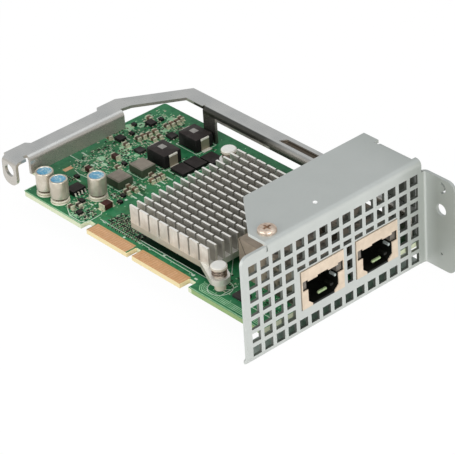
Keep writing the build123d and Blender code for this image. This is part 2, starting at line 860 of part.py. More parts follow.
def pin_spring(pin_x, pin_y):
    """Coil spring between the lug and the push pin's head."""
    radius = pin_radius + pin_clearance + spring_wire / 2
    height = pin_neck - spring_wire
    coil = Helix(pitch=height / spring_turns, height=height, radius=radius)
    section = Plane(origin=coil @ 0, z_dir=coil % 0) * Circle(spring_wire / 2)
    return Pos(pin_x, pin_y, lug_top_z + spring_wire / 2) * sweep(section, path=coil)


def capacitor_can(x, y):
    """Rolled aluminium can with a rounded rim and a narrow neck above its base."""
    profile = Polyline(
        (0, can_base),
        (can_radius - can_groove, can_base),
        (can_radius - can_groove, can_groove_z),
        (can_radius, can_groove_z + can_groove),
        (can_radius, can_height - can_edge),
        (can_radius - can_edge, can_height),
        (0, can_height),
        close=True,
    )
    return Pos(x, y, 0) * revolve(Plane.XZ * make_face(profile), Axis.Z)


def package(x, y, length, width, height, low=0):
    """A flat moulded package on the board."""
    return block(x - length / 2, x + length / 2, y - width / 2, y + width / 2, low, height)


def capacitor_base(x, y):
    """Round foot of a can: a low ring on the board, and a rolled ring on top of it."""
    foot_radius = can_radius + can_base_margin
    profile = Polyline(
        (0, 0),
        (foot_radius, 0),
        (foot_radius, can_foot),
        (can_radius - can_groove / 2, can_foot),
        (can_radius, (can_foot + can_base) / 2),
        (can_radius - can_groove / 2, can_base),
        (0, can_base),
        close=True,
    )
    return Pos(x, y, 0) * revolve(Plane.XZ * make_face(profile), Axis.Z)


def edged(body, edge):
    """A body with its top edges softened."""
    return chamfer(body.faces().sort_by(Axis.Z)[-1].edges(), edge)


def power_inductor(x, y):
    """Moulded inductor with rounded corners and a softened top edge."""
    body = package(x, y, choke_length, choke_width, choke_height)
    return edged(fillet(body.edges().filter_by(Axis.Z), choke_corner), choke_edge)


def inductor_clips(x, y):
    """Terminal strips up the two ends of an inductor, each with a foot on the board."""
    clips = []
    for side in (-1, 1):
        end_x = x + side * choke_length / 2
        y_low = y - clip_width / 2
        y_high = y + clip_width / 2
        sheet_x = end_x + side * clip_sheet
        foot_x = end_x + side * clip_foot
        riser = block(min(end_x, sheet_x), max(end_x, sheet_x), y_low, y_high, 0, clip_rise)
        foot = block(min(end_x, foot_x), max(end_x, foot_x), y_low, y_high, 0, clip_sheet)
        clips.append(riser + foot)
    return clips


def filter_inductor(x, y):
    """Square moulded inductor with softened top edges."""
    return edged(package(x, y, filter_length, filter_width, filter_height), choke_edge)


def spots(left_shares, right_shares):
    """Places on the board, from the shares of the left bay and of the right bay."""
    places = []
    for bay_x, bay_length, table in ((board_left_x, left_bay_length, left_shares),
                                     (column_right_x, right_bay_length, right_shares)):
        for x_share, y_share, *counts in table:
            places.append((bay_x + x_share * bay_length, board_near_y + y_share * bay_width, *counts))
    return places


def memory_leads():
    """Gull-wing leads along the two long sides of the memory chip."""
    lead_z = memory_height / 2
    leads = []
    for number in range(leads_per_side):
        y = memory_y + (number - (leads_per_side - 1) / 2) * lead_pitch
        for side in (-1, 1):
            edge_x = memory_x + side * memory_length / 2
            bend_x = edge_x + side * lead_reach / 2
            inner_x = bend_x - side * lead_thickness
            foot_x = edge_x + side * lead_reach
            outline = (
                (edge_x, lead_z),
                (inner_x, lead_z),
                (inner_x, 0),
                (foot_x, 0),
                (foot_x, lead_thickness),
                (bend_x, lead_thickness),
                (bend_x, lead_z + lead_thickness),
                (edge_x, lead_z + lead_thickness),
            )
            face = side_view() * make_face(Polyline(*outline, close=True))
            leads.append(Pos(0, y + lead_width / 2, 0) * extrude(face, lead_width, dir=(0, -1, 0)))
    return leads


def resistor_rows():
    """Resistors in blocks of columns and rows."""
    pieces = []
    for first_x, first_y, columns, rows in spots(left_block_shares, right_block_shares):
        for column in range(columns):
            for row in range(rows):
                x = first_x + column * (resistor_length + resistor_gap_x)
                y = first_y + row * (resistor_width + resistor_gap_y)
                pieces.append(package(x, y, resistor_length, resistor_width, resistor_height))
    return pieces


def save_jacks():
    """Every piece of both jacks."""
    for number, centre_y in enumerate(jack_centres_y, 1):
        save(f"jack_shield_{number}", [jack_shield(centre_y)])
        save(f"jack_housing_{number}", [jack_housing(centre_y)])
        save(f"jack_light_pipes_{number}", jack_light_pipes(centre_y))
        save(f"jack_wires_{number}", jack_wires(centre_y))


def save_cooler():
    """The chip, its pad, the cooler and what holds it down."""
    save("controller_chip", [package(sink_x, sink_y, chip_side, chip_side, chip_height)])
    save("thermal_pad", [package(sink_x, sink_y, pad_side, pad_side, sink_bottom_z, chip_height)])
    save("heatsink", [heatsink()])
    for name, (pin_x, pin_y) in pins.items():
        save(f"push_pin_{name}", [push_pin(pin_x, pin_y)])
        save(f"pin_spring_{name}", [pin_spring(pin_x, pin_y)])


def save_tall_parts():
    """Round capacitors and inductors."""
    row_x = board_left_x + can_row_x
    row_y = board_near_y + can_row_y
    cans = ((row_x, row_y), (row_x + can_side + can_gap, row_y), (column_x + can_shift, column_can_y))
    for number, (x, y) in enumerate(cans, 1):
        save(f"capacitor_can_{number}", [capacitor_can(x, y)])
        save(f"capacitor_base_{number}", [capacitor_base(x, y)])
    for number, y in enumerate((choke_near_y, choke_far_y), 1):
        save(f"power_inductor_{number}", [power_inductor(column_x, y)])
        save(f"inductor_clips_{number}", inductor_clips(column_x, y))
    for number, y in enumerate((filter_near_y, filter_far_y), 1):
        save(f"filter_inductor_{number}", [filter_inductor(column_x, y)])


def save_flat_parts():
    """Chips, flat packages and the small parts, soldered on the board."""
    for number, shift in enumerate((0, 0, stage_shift), 1):
        y = stage_y + (number - 1) * (stage_width + stage_gap_y)
        save(f"power_stage_{number}", [package(stage_x + shift, y, stage_length, stage_width, stage_height)])
    chips = [package(*place, small_chip_length, small_chip_width, small_chip_height)
             for place in spots(left_chip_shares, ())]
    chips += [package(*place, sensor_length, sensor_width, small_chip_height)
              for place in spots((), right_sensor_shares)]
    for number, chip in enumerate(chips, 1):
        save(f"small_chip_{number}", [chip])
    save("transistors", [package(*place, transistor_length, transistor_width, transistor_height)
                         for place in spots(left_transistor_shares, right_transistor_shares)])
    tantalums = [package(*place, small_tantalum_length, small_tantalum_width, small_tantalum_height)
                 for place in spots(left_tantalum_shares, ())]
    tantalums += [package(*place, tantalum_length, tantalum_width, tantalum_height)
                  for place in spots((), right_tantalum_shares)]
    for number, body in enumerate(tantalums, 1):
        save(f"tantalum_capacitor_{number}", [edged(body, tantalum_edge)])
    save("memory_chip", [package(memory_x, memory_y, memory_length, memory_width, memory_height, memory_stand)])
    save("memory_chip_leads", memory_leads())
    save("ceramic_capacitors", [package(*place, ceramic_length, ceramic_width, ceramic_height)
                                for place in spots(left_ceramic_shares, right_ceramic_shares)])
    save("resistors", resistor_rows())


save("front_plate", [front_plate()])
save("rail_frame", [rail_frame()])
save("cover_screw", [cover_screw()])
save("circuit_board", [circuit_board()])
save("edge_contacts", edge_contacts())
save_jacks()
save_cooler()
save_tall_parts()
save_flat_parts()
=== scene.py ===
import bmesh
import bpy
import math
import numpy as np
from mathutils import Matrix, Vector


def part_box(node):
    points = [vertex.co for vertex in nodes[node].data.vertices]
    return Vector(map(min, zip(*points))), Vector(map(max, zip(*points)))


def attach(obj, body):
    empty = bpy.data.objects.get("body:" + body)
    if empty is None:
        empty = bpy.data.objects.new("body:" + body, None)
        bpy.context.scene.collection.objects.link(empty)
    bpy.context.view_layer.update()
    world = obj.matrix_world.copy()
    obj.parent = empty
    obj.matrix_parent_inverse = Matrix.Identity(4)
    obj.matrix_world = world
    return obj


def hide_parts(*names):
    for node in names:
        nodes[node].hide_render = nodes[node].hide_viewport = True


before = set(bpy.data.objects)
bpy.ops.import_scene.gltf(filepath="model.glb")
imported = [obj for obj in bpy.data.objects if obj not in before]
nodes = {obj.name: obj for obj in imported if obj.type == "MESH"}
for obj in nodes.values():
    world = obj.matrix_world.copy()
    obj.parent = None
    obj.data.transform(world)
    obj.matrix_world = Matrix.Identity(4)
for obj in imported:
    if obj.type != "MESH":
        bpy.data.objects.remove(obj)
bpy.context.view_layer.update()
print("frame loaded with", len(nodes), "nodes")

# Places below are card millimetres: X from the front plate's outer face, Y from its near edge,
# Z from the board's top. Blender works in metres from the ear's screw hole. Flat marks on the
# board start at the height "sunk", just under its top.
card = {"origin": (6.5, 71.8, 13.2), "perMetre": 1000.0, "sunk": -0.02}

# corners within a step of each other count as one; merge and flat are in metres, sharp in degrees
mesher = {"stepsPerMm": 200, "merge": 2e-7, "flat": 1e-7, "sharp": 35.0}


def toRow(points):
    # card millimetres to metres: take the origin away and divide by a thousand
    return (np.asarray(points, float) - card["origin"]) / card["perMetre"]


def cardBox(node):
    low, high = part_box(node)
    origin = np.array(card["origin"])
    return np.array(low) * card["perMetre"] + origin, np.array(high) * card["perMetre"] + origin


def solidBoxes(node):
    # lowest and highest corner of every separate solid in a node: triangles that share a corner
    # get the smaller of their labels again and again, until each solid has one label
    mesh = nodes[node].data
    places = np.zeros(len(mesh.vertices) * 3)
    mesh.vertices.foreach_get("co", places)
    places = places.reshape(-1, 3) * card["perMetre"] + card["origin"]
    corners = np.zeros(len(mesh.loops), int)
    mesh.loops.foreach_get("vertex_index", corners)
    steps = np.round(places * mesher["stepsPerMm"]).astype(int)
    same = np.unique(steps, axis=0, return_inverse=True)[1].reshape(-1)
    triangles = same[corners].reshape(-1, 3)
    label = np.arange(same.max() + 1)
    before = label.sum() + 1
    while label.sum() < before:
        before = label.sum()
        smallest = label[triangles].min(axis=1)
        np.minimum.at(label, triangles.reshape(-1), np.repeat(smallest, 3))
    owner = label[same]
    names = np.unique(owner)
    low = np.array([places[owner == n].min(axis=0) for n in names])
    high = np.array([places[owner == n].max(axis=0) for n in names])
    return low, high


def closedPiece(name, shape, finishName, stands=(), tint=None):
    # a shape's points and faces become one mesh; points that fall together at a pole or seam are
    # merged, and the faces are turned outwards. A tint is one value for each point or each block
    points, faces = shape
    mesh = bpy.data.meshes.new(name)
    mesh.from_pydata(toRow(points).tolist(), [], [list(face) for face in faces])
    if tint is not None:
        layer = mesh.attributes.new("tint", "FLOAT", "POINT")
        layer.data.foreach_set("value", np.repeat(tint, len(points) // len(tint)).astype(np.float32))
    build = bmesh.new()
    build.from_mesh(mesh)
    bmesh.ops.remove_doubles(build, verts=build.verts, dist=mesher["merge"])
    bmesh.ops.dissolve_degenerate(build, edges=build.edges, dist=mesher["flat"])
    bmesh.ops.recalc_face_normals(build, faces=build.faces)
    build.to_mesh(mesh)
    build.free()
    mesh.shade_smooth()
    mesh.set_sharp_from_angle(angle=math.radians(mesher["sharp"]))
    mesh.materials.append(finish[finishName])
    piece = bpy.data.objects.new(name, mesh)
    bpy.context.scene.collection.objects.link(piece)
    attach(piece, "root")
    if stands:
        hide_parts(*stands)


def gridFaces(rows, columns):
    # quads between neighbouring rows of a grid; the columns run round and close
    row = np.arange(rows - 1)[:, None]
    column = np.arange(columns)[None, :]
    a = row * columns + column
    b = row * columns + (column + 1) % columns
    return np.stack([a, b, b + columns, a + columns], axis=-1).reshape(-1, 4)


def revolved(profile, centre, steps=72):
    # a profile of (radius, height) turned about a vertical axis through the centre
    profile = np.asarray(profile, float)
    turn = np.linspace(0, 2 * np.pi, steps, endpoint=False)
    x = centre[0] + profile[:, :1] * np.cos(turn)
    y = centre[1] + profile[:, :1] * np.sin(turn)
    z = np.repeat(profile[:, 1:], steps, axis=1)
    points = np.stack([x, y, z], axis=-1).reshape(-1, 3)
    return points, gridFaces(len(profile), steps)


def roundOutline(halfX, halfY, corner, steps=7):
    # a rectangle's outline, anticlockwise, with a quarter circle at each corner, whose centre lies
    # the corner's radius inside both edges
    turn = np.linspace(0, np.pi / 2, steps)
    quarter = np.arange(4)[:, None]
    angle = turn[None, :] + quarter * np.pi / 2
    signX = np.array([1, -1, -1, 1])[:, None]
    signY = np.array([1, 1, -1, -1])[:, None]
    x = signX * (halfX - corner) + corner * np.cos(angle)
    y = signY * (halfY - corner) + corner * np.sin(angle)
    return np.stack([x.reshape(-1), y.reshape(-1)], axis=-1)


def layeredBlock(centre, half, corner, layers, tightest=0.15):
    # a rounded rectangle stacked up in layers of (inset, height); the first and last close to a point,
    # and its corners keep at least the tightest share of their radius
    rings = []
    for inset, height in layers:
        tight = max(corner - inset, corner * tightest)
        flat = roundOutline(half[0] - inset, half[1] - inset, tight)
        rings.append(np.column_stack([flat + centre[:2], np.full(len(flat), height)]))
    first = np.tile([centre[0], centre[1], layers[0][1]], (len(rings[0]), 1))
    last = np.tile([centre[0], centre[1], layers[-1][1]], (len(rings[0]), 1))
    points = np.concatenate([first, *rings, last])
    return points, gridFaces(len(layers) + 2, len(first))


def blockTemplate():
    # a box with all its edges cut: 24 corners as signs, each pulled in along two of the axes
    signs = np.array([[x, y, z] for x in (-1, 1) for y in (-1, 1) for z in (-1, 1)])
    which = np.repeat(np.arange(3), 8)
    signs = np.tile(signs, (3, 1))
    pulled = np.ones(signs.shape)
    pulled[np.arange(len(signs)), which] = 0
    number = {(a, *s): i for i, (a, s) in enumerate(zip(which, map(tuple, signs)))}
    faces = []
    for a in range(3):
        b, c = [k for k in range(3) if k != a]
        for side in (-1, 1):
            ring = []
            for sb, sc in ((-1, -1), (1, -1), (1, 1), (-1, 1)):
                s = [0, 0, 0]
                s[a], s[b], s[c] = side, sb, sc
                ring.append(number[(a, *s)])
            faces.append(ring)
        for sb in (-1, 1):
            for sc in (-1, 1):
                ring = []
                for owner, sa in ((b, -1), (b, 1), (c, 1), (c, -1)):
                    s = [0, 0, 0]
                    s[a], s[b], s[c] = sa, sb, sc
                    ring.append(number[(owner, *s)])
                faces.append(ring)
    corners = [[number[(a, *s)] for a in range(3)] for s in map(tuple, signs[:8])]
    return signs, pulled, faces + corners


def blockSet(low, high, edge, mostCut=0.8):
    # many boxes with cut edges: half size times the sign, less the cut along the two pulled axes;
    # a cut takes at most a share of the half size
    low = np.atleast_2d(np.asarray(low, float))
    high = np.atleast_2d(np.asarray(high, float))
    signs, pulled, faces = blockTemplate()
    middle = (low + high)[:, None, :] / 2
    half = (high - low)[:, None, :] / 2
    cut = np.minimum(np.reshape(edge, (-1, 1, 1)), half * mostCut)
    points = middle + signs * (half - cut * pulled)
    start = np.arange(len(low))[:, None] * len(signs)
    every = []
    for face in faces:
        every.extend((np.array(face) + start).tolist())
    return points.reshape(-1, 3), every


def ribbon(path, width, low, high, copies=1, pitch=0.0):
    # a flat strip along a path, and its copies beside it: each path point moves along the mitre of
    # its two runs, by half the width to both sides
    path = np.asarray(path, float)
    run = np.diff(path, axis=0)
    run /= np.linalg.norm(run, axis=1, keepdims=True)
    side = np.column_stack([-run[:, 1], run[:, 0]])
    mitre = np.concatenate([side[:1], side[:-1] + side[1:], side[-1:]])
    mitre /= np.linalg.norm(mitre, axis=1, keepdims=True)
    near = np.concatenate([side[:1], side])
    mitre /= (mitre * near).sum(axis=1)[:, None]
    shift = (np.arange(copies) - (copies - 1) / 2) * pitch
    middle = path[None] + shift[:, None, None] * mitre[None]
    left = middle + mitre * width / 2
    right = middle - mitre * width / 2
    flat = np.stack([left, right, right, left], axis=2)
    height = np.broadcast_to(np.array([high, high, low, low])[None, None, :, None], (*flat.shape[:3], 1))
    points = np.concatenate([flat, height], axis=-1).reshape(-1, 3)
    one = gridFaces(len(path), 4)
    ends = np.array([[0, 1, 2, 3], np.array([3, 2, 1, 0]) + 4 * (len(path) - 1)])
    faces = np.concatenate([one, ends])
    faces = (faces[None] + (np.arange(copies) * len(path) * 4)[:, None, None]).reshape(-1, 4)
    return points, faces


def discs(centres, radius, low, high, sides):
    # short upright prisms: points at equal turns round each centre, at a lower and an upper height
    centres = np.atleast_2d(np.asarray(centres, float))
    turn = np.linspace(0, 2 * np.pi, sides, endpoint=False)
    ring = np.column_stack([np.cos(turn), np.sin(turn)]) * radius
    flat = centres[:, None, :] + ring[None]
    count = len(centres)
    upper = np.concatenate([flat, np.full((count, sides, 1), high)], axis=-1)
    lower = np.concatenate([flat, np.full((count, sides, 1), low)], axis=-1)
    points = np.stack([lower, upper], axis=1).reshape(-1, 3)
    start = np.arange(count) * 2 * sides
    wall = (gridFaces(2, sides)[None] + start[:, None, None]).reshape(-1, 4).tolist()
    top = (np.arange(sides, 2 * sides)[None] + start[:, None]).tolist()
    under = (np.arange(sides)[::-1][None] + start[:, None]).tolist()
    return points, wall + top + under


def joined(parts):
    # several shapes as one: each one's faces count on from the points before it
    points, faces, count = [], [], 0
    for some, theirs in parts:
        points.append(some)
        faces.extend([[int(i) + count for i in face] for face in theirs])
        count += len(some)
    return np.concatenate(points), faces


def tone(red, green, blue):
    # a colour as a picture shows it, from 0 to 255, to the linear values that Blender works in, by
    # the sRGB curve
    share = np.array([red, green, blue]) / 255
    linear = np.where(share <= 0.04045, share / 12.92, ((share + 0.055) / 1.055) ** 2.4)
    return (*linear, 1.0)


def feed(tree, node, inputs):
    # each input takes a plain value or another node's output
    for slot, value in inputs.items():
        if isinstance(value, bpy.types.NodeSocket):
            tree.links.new(value, node.inputs[slot])
        elif value is not None:
            node.inputs[slot].default_value = value
    return node


def newNode(tree, kind, inputs, **settings):
    node = tree.nodes.new("ShaderNode" + kind)
    for name, value in settings.items():
        setattr(node, name, value)
    return feed(tree, node, inputs)


def newGroup(name, inputs, outputs):
    group = bpy.data.node_groups.new(name, "ShaderNodeTree")
    for label, (kind, value) in inputs.items():
        socket = group.interface.new_socket(name=label, in_out="INPUT", socket_type="NodeSocket" + kind)
        if value is not None:
            socket.default_value = value
    for label, kind in outputs.items():
        group.interface.new_socket(name=label, in_out="OUTPUT", socket_type="NodeSocket" + kind)
    return group, group.nodes.new("NodeGroupInput").outputs, group.nodes.new("NodeGroupOutput")


def mathNode(tree, operation, first, second=None, kind="Math"):
    # one step of arithmetic on numbers or, with VectorMath, on vectors
    node = newNode(tree, kind, {0: first, 1: second}, operation=operation)
    return node.outputs[1 if operation == "LENGTH" else 0]


def times(tree, first, second):
    return mathNode(tree, "MULTIPLY", first, second)


def mixColour(tree, share, first, second, mode="MIX"):
    return newNode(tree, "Mix", {0: share, 6: first, 7: second}, data_type="RGBA", blend_type=mode).outputs[2]


def spread(tree, value, low, high, toLow=0.0, toHigh=1.0):
    # stretches a value's range, and holds it inside the new one
    return newNode(tree, "MapRange", {0: value, 1: low, 2: high, 3: toLow, 4: toHigh}).outputs[0]


def axesOf(tree, vector):
    return newNode(tree, "SeparateXYZ", {0: vector}).outputs


def grainGroup():
    # soft patches between two colours, with a fine stretched grain in gloss and height
    group, given, end = newGroup("surfaceGrain", {
        "Vector": ("Vector", None), "Colour": ("Color", (0.5, 0.5, 0.5, 1)),
        "Shade": ("Color", (0.4, 0.4, 0.4, 1)), "Patch Scale": ("Float", 0.15),
        "Grain Stretch": ("Vector", (1, 1, 1)), "Grain Scale": ("Float", 4.0), "Grain Depth": ("Float", 0.02),
        "Grain Tint": ("Float", 0.1), "Rough Low": ("Float", 0.3), "Rough High": ("Float", 0.5),
    }, {"Colour": "Color", "Roughness": "Float", "Normal": "Vector"})
    patch = newNode(group, "TexNoise", {
        "Vector": given["Vector"], "Scale": given["Patch Scale"], "Detail": 3.0}).outputs[0]
    stretched = mathNode(group, "MULTIPLY", given["Vector"], given["Grain Stretch"], "VectorMath")
    grain = newNode(group, "TexNoise", {
        "Vector": stretched, "Scale": given["Grain Scale"], "Detail": 5.0, "Roughness": 0.65}).outputs[0]
    colour = mixColour(group, spread(group, patch, 0.35, 0.65), given["Colour"], given["Shade"])
    lines = times(group, spread(group, grain, 0.3, 0.7), given["Grain Tint"])
    bump = newNode(group, "Bump", {"Distance": 0.0001, "Strength": given["Grain Depth"], "Height": grain})
    feed(group, end, {
        "Colour": mixColour(group, lines, colour, given["Shade"]),
        "Roughness": spread(group, grain, 0.3, 0.7, given["Rough Low"], given["Rough High"]),
        "Normal": bump.outputs[0],
    })
    return group


def boxMaskGroup():
    # one inside a box with rounded corners, and nothing outside it: the length of what lies past the
    # box, axis by axis
    group, given, end = newGroup("boxMask", {
        "Vector": ("Vector", None), "Centre": ("Vector", (0, 0, 0)), "Half Size": ("Vector", (1, 1, 1)),
        "Corner": ("Float", 0.1), "Softness": ("Float", 0.04),
    }, {"Mask": "Float"})
    past = given["Vector"]
    for operation, other in (
            ("SUBTRACT", given["Centre"]), ("ABSOLUTE", None), ("SUBTRACT", given["Half Size"]),
            ("ADD", given["Corner"]), ("MAXIMUM", (0, 0, 0)), ("LENGTH", None)):
        past = mathNode(group, operation, past, other, "VectorMath")
    edge = mathNode(group, "SUBTRACT", past, given["Corner"])
    feed(group, end, {"Mask": spread(group, edge, given["Softness"], 0.0)})
    return group


def facingGroup():
    # how far the surface looks up, and how far it looks along X and along Y, either way
    group, given, end = newGroup("facing", {}, {"Up": "Float", "Along X": "Float", "Along Y": "Float"})
    axes = axesOf(group, newNode(group, "NewGeometry", {}).outputs["True Normal"])
    for name, value in (("Up", axes[2]), ("Along X", mathNode(group, "ABSOLUTE", axes[0])),
                        ("Along Y", mathNode(group, "ABSOLUTE", axes[1]))):
        feed(group, end, {name: spread(group, value, 0.55, 0.8)})
    return group


def smudgeGroup():
    # sparse specks and faint handling smears
    group, given, end = newGroup("smudge", {
        "Vector": ("Vector", None), "Speck Scale": ("Float", 1.2), "Amount": ("Float", 0.3),
    }, {"Mask": "Float"})
    speck = newNode(group, "TexVoronoi", {"Vector": given["Vector"], "Scale": given["Speck Scale"]})
    smear = newNode(group, "TexNoise", {
        "Vector": given["Vector"], "Scale": 0.09, "Detail": 4.0, "Distortion": 0.8})
    dots = spread(group, speck.outputs["Distance"], 0.12, 0.05)
    soft = times(group, spread(group, smear.outputs[0], 0.52, 0.72), 0.6)
    feed(group, end, {"Mask": times(group, mathNode(group, "MAXIMUM", dots, soft), given["Amount"])})
    return group


groups = {"grain": grainGroup(), "boxMask": boxMaskGroup(), "facing": facingGroup(), "smudge": smudgeGroup()}


def place(tree, name, **values):
    # puts a node group into a material, with this material's own values
    inputs = {key.replace("_", " "): value for key, value in values.items()}
    return newNode(tree, "Group", inputs, node_tree=groups[name]).outputs


def paintOver(tree, mask, share, colour, paint):
    return mixColour(tree, times(tree, mask, share), colour, tone(*paint))


def boxMask(tree, where, centre, half, **edge):
    return place(tree, "boxMask", Vector=where, Centre=centre, Half_Size=half, **edge)["Mask"]


def paintBoxes(tree, where, colour, boxes):
    # each box has its centre, half size, paint and share, and some have an edge of their own
    for centre, half, paint, share, *edge in boxes:
        mask = boxMask(tree, where, centre, half, **dict(*edge))
        colour = paintOver(tree, mask, share, colour, paint)
    return colour


dustColour = (0.8, 0.8, 0.78, 1)


def makeFinish(name, colour, shade, rough, paint=None, metallic=0.0, shine=0.5, patch=0.15,
               stretch=(1, 1, 1), scale=4.0, depth=0.05, tint=0.1, dust=0.0, side=None):
    # a material with the card's millimetres as its coordinates: its grain comes first, then what its
    # own paint function adds, then a side colour, a painted shade, on the faces that don't look up, then dust
    material = bpy.data.materials.new(name)
    material.use_nodes = True
    tree = material.node_tree
    where = newNode(tree, "Mapping", {
        "Vector": newNode(tree, "TexCoord", {}).outputs["Object"], "Location": card["origin"],
        "Scale": (card["perMetre"],) * 3}).outputs[0]
    grain = place(
        tree, "grain", Vector=where, Colour=colour, Shade=shade, Patch_Scale=patch, Grain_Stretch=stretch,
        Grain_Scale=scale, Grain_Depth=depth, Grain_Tint=tint, Rough_Low=rough[0], Rough_High=rough[1])
    shader = feed(tree, tree.nodes["Principled BSDF"], {
        "Metallic": metallic, "Specular IOR Level": shine, "Roughness": grain["Roughness"],
        "Normal": grain["Normal"]})
    painted = grain["Colour"]
    if paint:
        painted = paint(tree, where, painted)
    # the side colour is a painted shade on the faces that don't look up
    if side:
        painted = mixColour(tree, place(tree, "facing")["Up"], tone(*side), painted)
    if dust:
        mask = place(tree, "smudge", Vector=where, Amount=dust)["Mask"]
        painted = mixColour(tree, mask, painted, dustColour)
    feed(tree, shader, {"Base Color": painted})
    return material


boardPaint = {
    "pours": (72, 152, 102), "pourCells": {"Scale": 0.55, "Randomness": 0.75},
    "pourEdge": (0.36, 0.42, 0.0, 0.3), "laminate": (236, 240, 212), "layers": (184, 200, 156),
    "layerWaves": {"Scale": 1.1, "Distortion": 0.6}, "layerShare": 0.6, "roughTopToEdge": (0.36, 0.7),
    # golden ground on the two tongues, and shade under the cooler's near side
    "top": (
        ((-69.3, 8.3, -0.8), (8.9, 2.3, 1.0), (218, 170, 122), 0.95),
        ((-46.5, 8.3, -0.8), (10.8, 2.3, 1.0), (218, 170, 122), 0.95),
        ((-47.6, 16.4, 0.0), (16.6, 3.0, 0.5), (8, 24, 15), 0.94, {"Corner": 0.6, "Softness": 0.4}),
    ),
    # painted shade on the front edge, golden on the tongues, greener at the near edge beside them
    "edges": (
        ((-1.3, 26.0, -0.8), (0.4, 22.0, 1.2), (150, 154, 132), 0.8),
        ((-57.5, 6.6, -0.8), (23.2, 3.4, 1.2), (246, 226, 176), 0.9),
        ((-16.4, 6.8, -0.8), (14.8, 0.6, 1.2), (128, 164, 94), 0.8),
    ),
}


def paintBoard(tree, where, colour):
    # solder mask above and below, bare laminate with its layers on the edges
    p = boardPaint
    cells = newNode(tree, "TexVoronoi", {"Vector": where, **p["pourCells"]}, distance="CHEBYCHEV")
    pours = spread(tree, cells.outputs["Distance"], *p["pourEdge"])
    colour = paintBoxes(tree, where, mixColour(tree, pours, colour, tone(*p["pours"])), p["top"])
    layers = newNode(tree, "TexWave", {"Vector": where, **p["layerWaves"]}, bands_direction="Z")
    laminate = paintOver(tree, layers.outputs["Fac"], p["layerShare"], tone(*p["laminate"]), p["layers"])
    laminate = paintBoxes(tree, where, laminate, p["edges"])
    facing = place(tree, "facing")
    edges = mathNode(tree, "MAXIMUM", facing["Along X"], facing["Along Y"])
    feed(tree, tree.nodes["Principled BSDF"], {"Roughness": spread(tree, edges, 0, 1, *p["roughTopToEdge"])})
    return mixColour(tree, edges, colour, laminate)


platePaint = {
    # painted shade on the far end, except on the ear's near bend
    "farEndShade": (168, 173, 166), "farFade": (60.0, 71.0, 0.0, 0.8), "bendFade": (1.0, 5.0, 0.9, 0.0),
    # painted shade on the faces that look up, beside real dust
    "top": (182, 188, 187), "topShadeShare": 0.6, "dust": (226, 228, 224), "dustShare": 0.08,
    # painted shade on the walls of the holes
    "holes": (72, 76, 66), "holeWallShadeShare": 0.78,
    # a painted highlight on the struck dimple
    "dimple": (((-6.1, 33.7, 27.6), (0.95, 0.95, 0.62), (252, 253, 252), 1.0, {"Corner": 0.9}),),
    # painted shade on the inner faces of the plate and cover
    "inside": (((-13.2, 36.0, 13.0), (11.9, 35.9, 13.8), (66, 72, 62), 0.9),),
    "holeBox": ((-0.5, 35.9, 9.3), (0.47, 34.9, 15.8)),
}


def paintPlate(tree, where, colour):
    # painted shade on the far end except on the ear's near bend and on the faces that look up, a painted
    # highlight on the struck dimple, and painted shade on the inner faces
    p = platePaint
    axes, facing = axesOf(tree, where), place(tree, "facing")
    # painted shade toward the far end, left off the ear's near bend
    bend = times(tree, spread(tree, axes[0], *p["bendFade"]), facing["Along Y"])
    farEndShade = times(tree, spread(tree, axes[1], *p["farFade"]), spread(tree, bend, 0, 1, 1, 0))
    colour = mixColour(tree, farEndShade, colour, tone(*p["farEndShade"]))
    # painted shade on the faces that look up
    colour = paintOver(tree, facing["Up"], p["topShadeShare"], colour, p["top"])
    # a painted highlight on the struck dimple
    colour = paintBoxes(tree, where, colour, p["dimple"])
    dust = place(tree, "smudge", Vector=where, Amount=p["dustShare"])["Mask"]
    colour = mixColour(tree, dust, colour, tone(*p["dust"]))
    # painted shade on the inner faces
    colour = paintBoxes(tree, where, colour, p["inside"])
    # painted shade on the walls of the holes, cut through the sheet
    shadedHoleWalls = spread(tree, facing["Along X"], 0, 1, p["holeWallShadeShare"], 0)
    shadedHoleWalls = times(tree, boxMask(tree, where, *p["holeBox"]), shadedHoleWalls)
    return mixColour(tree, shadedHoleWalls, colour, tone(*p["holes"]))


shellPaint = {
    # painted shade behind the front plate and close to its holes; the seam is the shield's own
    "dull": (176, 160, 144), "dullShade": (150, 138, 122), "dullPatches": 0.25, "dullTint": 0.3,
    "close": (46, 48, 40), "closeSoft": 2.6, "closeNoise": {"Scale": 0.3, "Detail": 2.0},
    "closeShares": (0.42, 0.56, 0.35, 0.92), "seam": (36, 32, 28), "seamSlope": 2.0, "seamEdge": (0.34, 0.2),
    "shadedBehindBox": ((-31.4, 40.0, 10.0), (30.0, 40.0, 20.0)),
    "closeBox": ((-9.0, 40.0, 10.0), (5.0, 40.0, 20.0)),
    "seamBox": ((-24.2, 21.4, 10.0), (2.0, 0.4, 2.8)), "seamAt": -38.4,
}


def paintShell(tree, where, colour):
    # painted shade, darker behind the front plate, and an uneven painted shade close to its holes
    p = shellPaint
    dull = place(tree, "grain", Vector=where, Colour=tone(*p["dull"]), Shade=tone(*p["dullShade"]),
                 Patch_Scale=p["dullPatches"], Grain_Tint=p["dullTint"])
    # painted shade behind the front plate
    colour = mixColour(tree, boxMask(tree, where, *p["shadedBehindBox"]), colour, dull["Colour"])
    noise = newNode(tree, "TexNoise", {"Vector": where, **p["closeNoise"]}).outputs[0]
    close = boxMask(tree, where, *p["closeBox"], Softness=p["closeSoft"])
    uneven = times(tree, close, spread(tree, noise, *p["closeShares"]))
    colour = mixColour(tree, uneven, colour, tone(*p["close"]))
    # the folded seam on the near side: where twice X plus Z is near one value
    axes = axesOf(tree, where)
    slope = mathNode(tree, "ADD", times(tree, axes[0], p["seamSlope"]), axes[2])
    off = mathNode(tree, "ABSOLUTE", mathNode(tree, "SUBTRACT", slope, p["seamAt"]))
    seam = times(tree, spread(tree, off, *p["seamEdge"]), boxMask(tree, where, *p["seamBox"]))
    return mixColour(tree, seam, colour, tone(*p["seam"]))


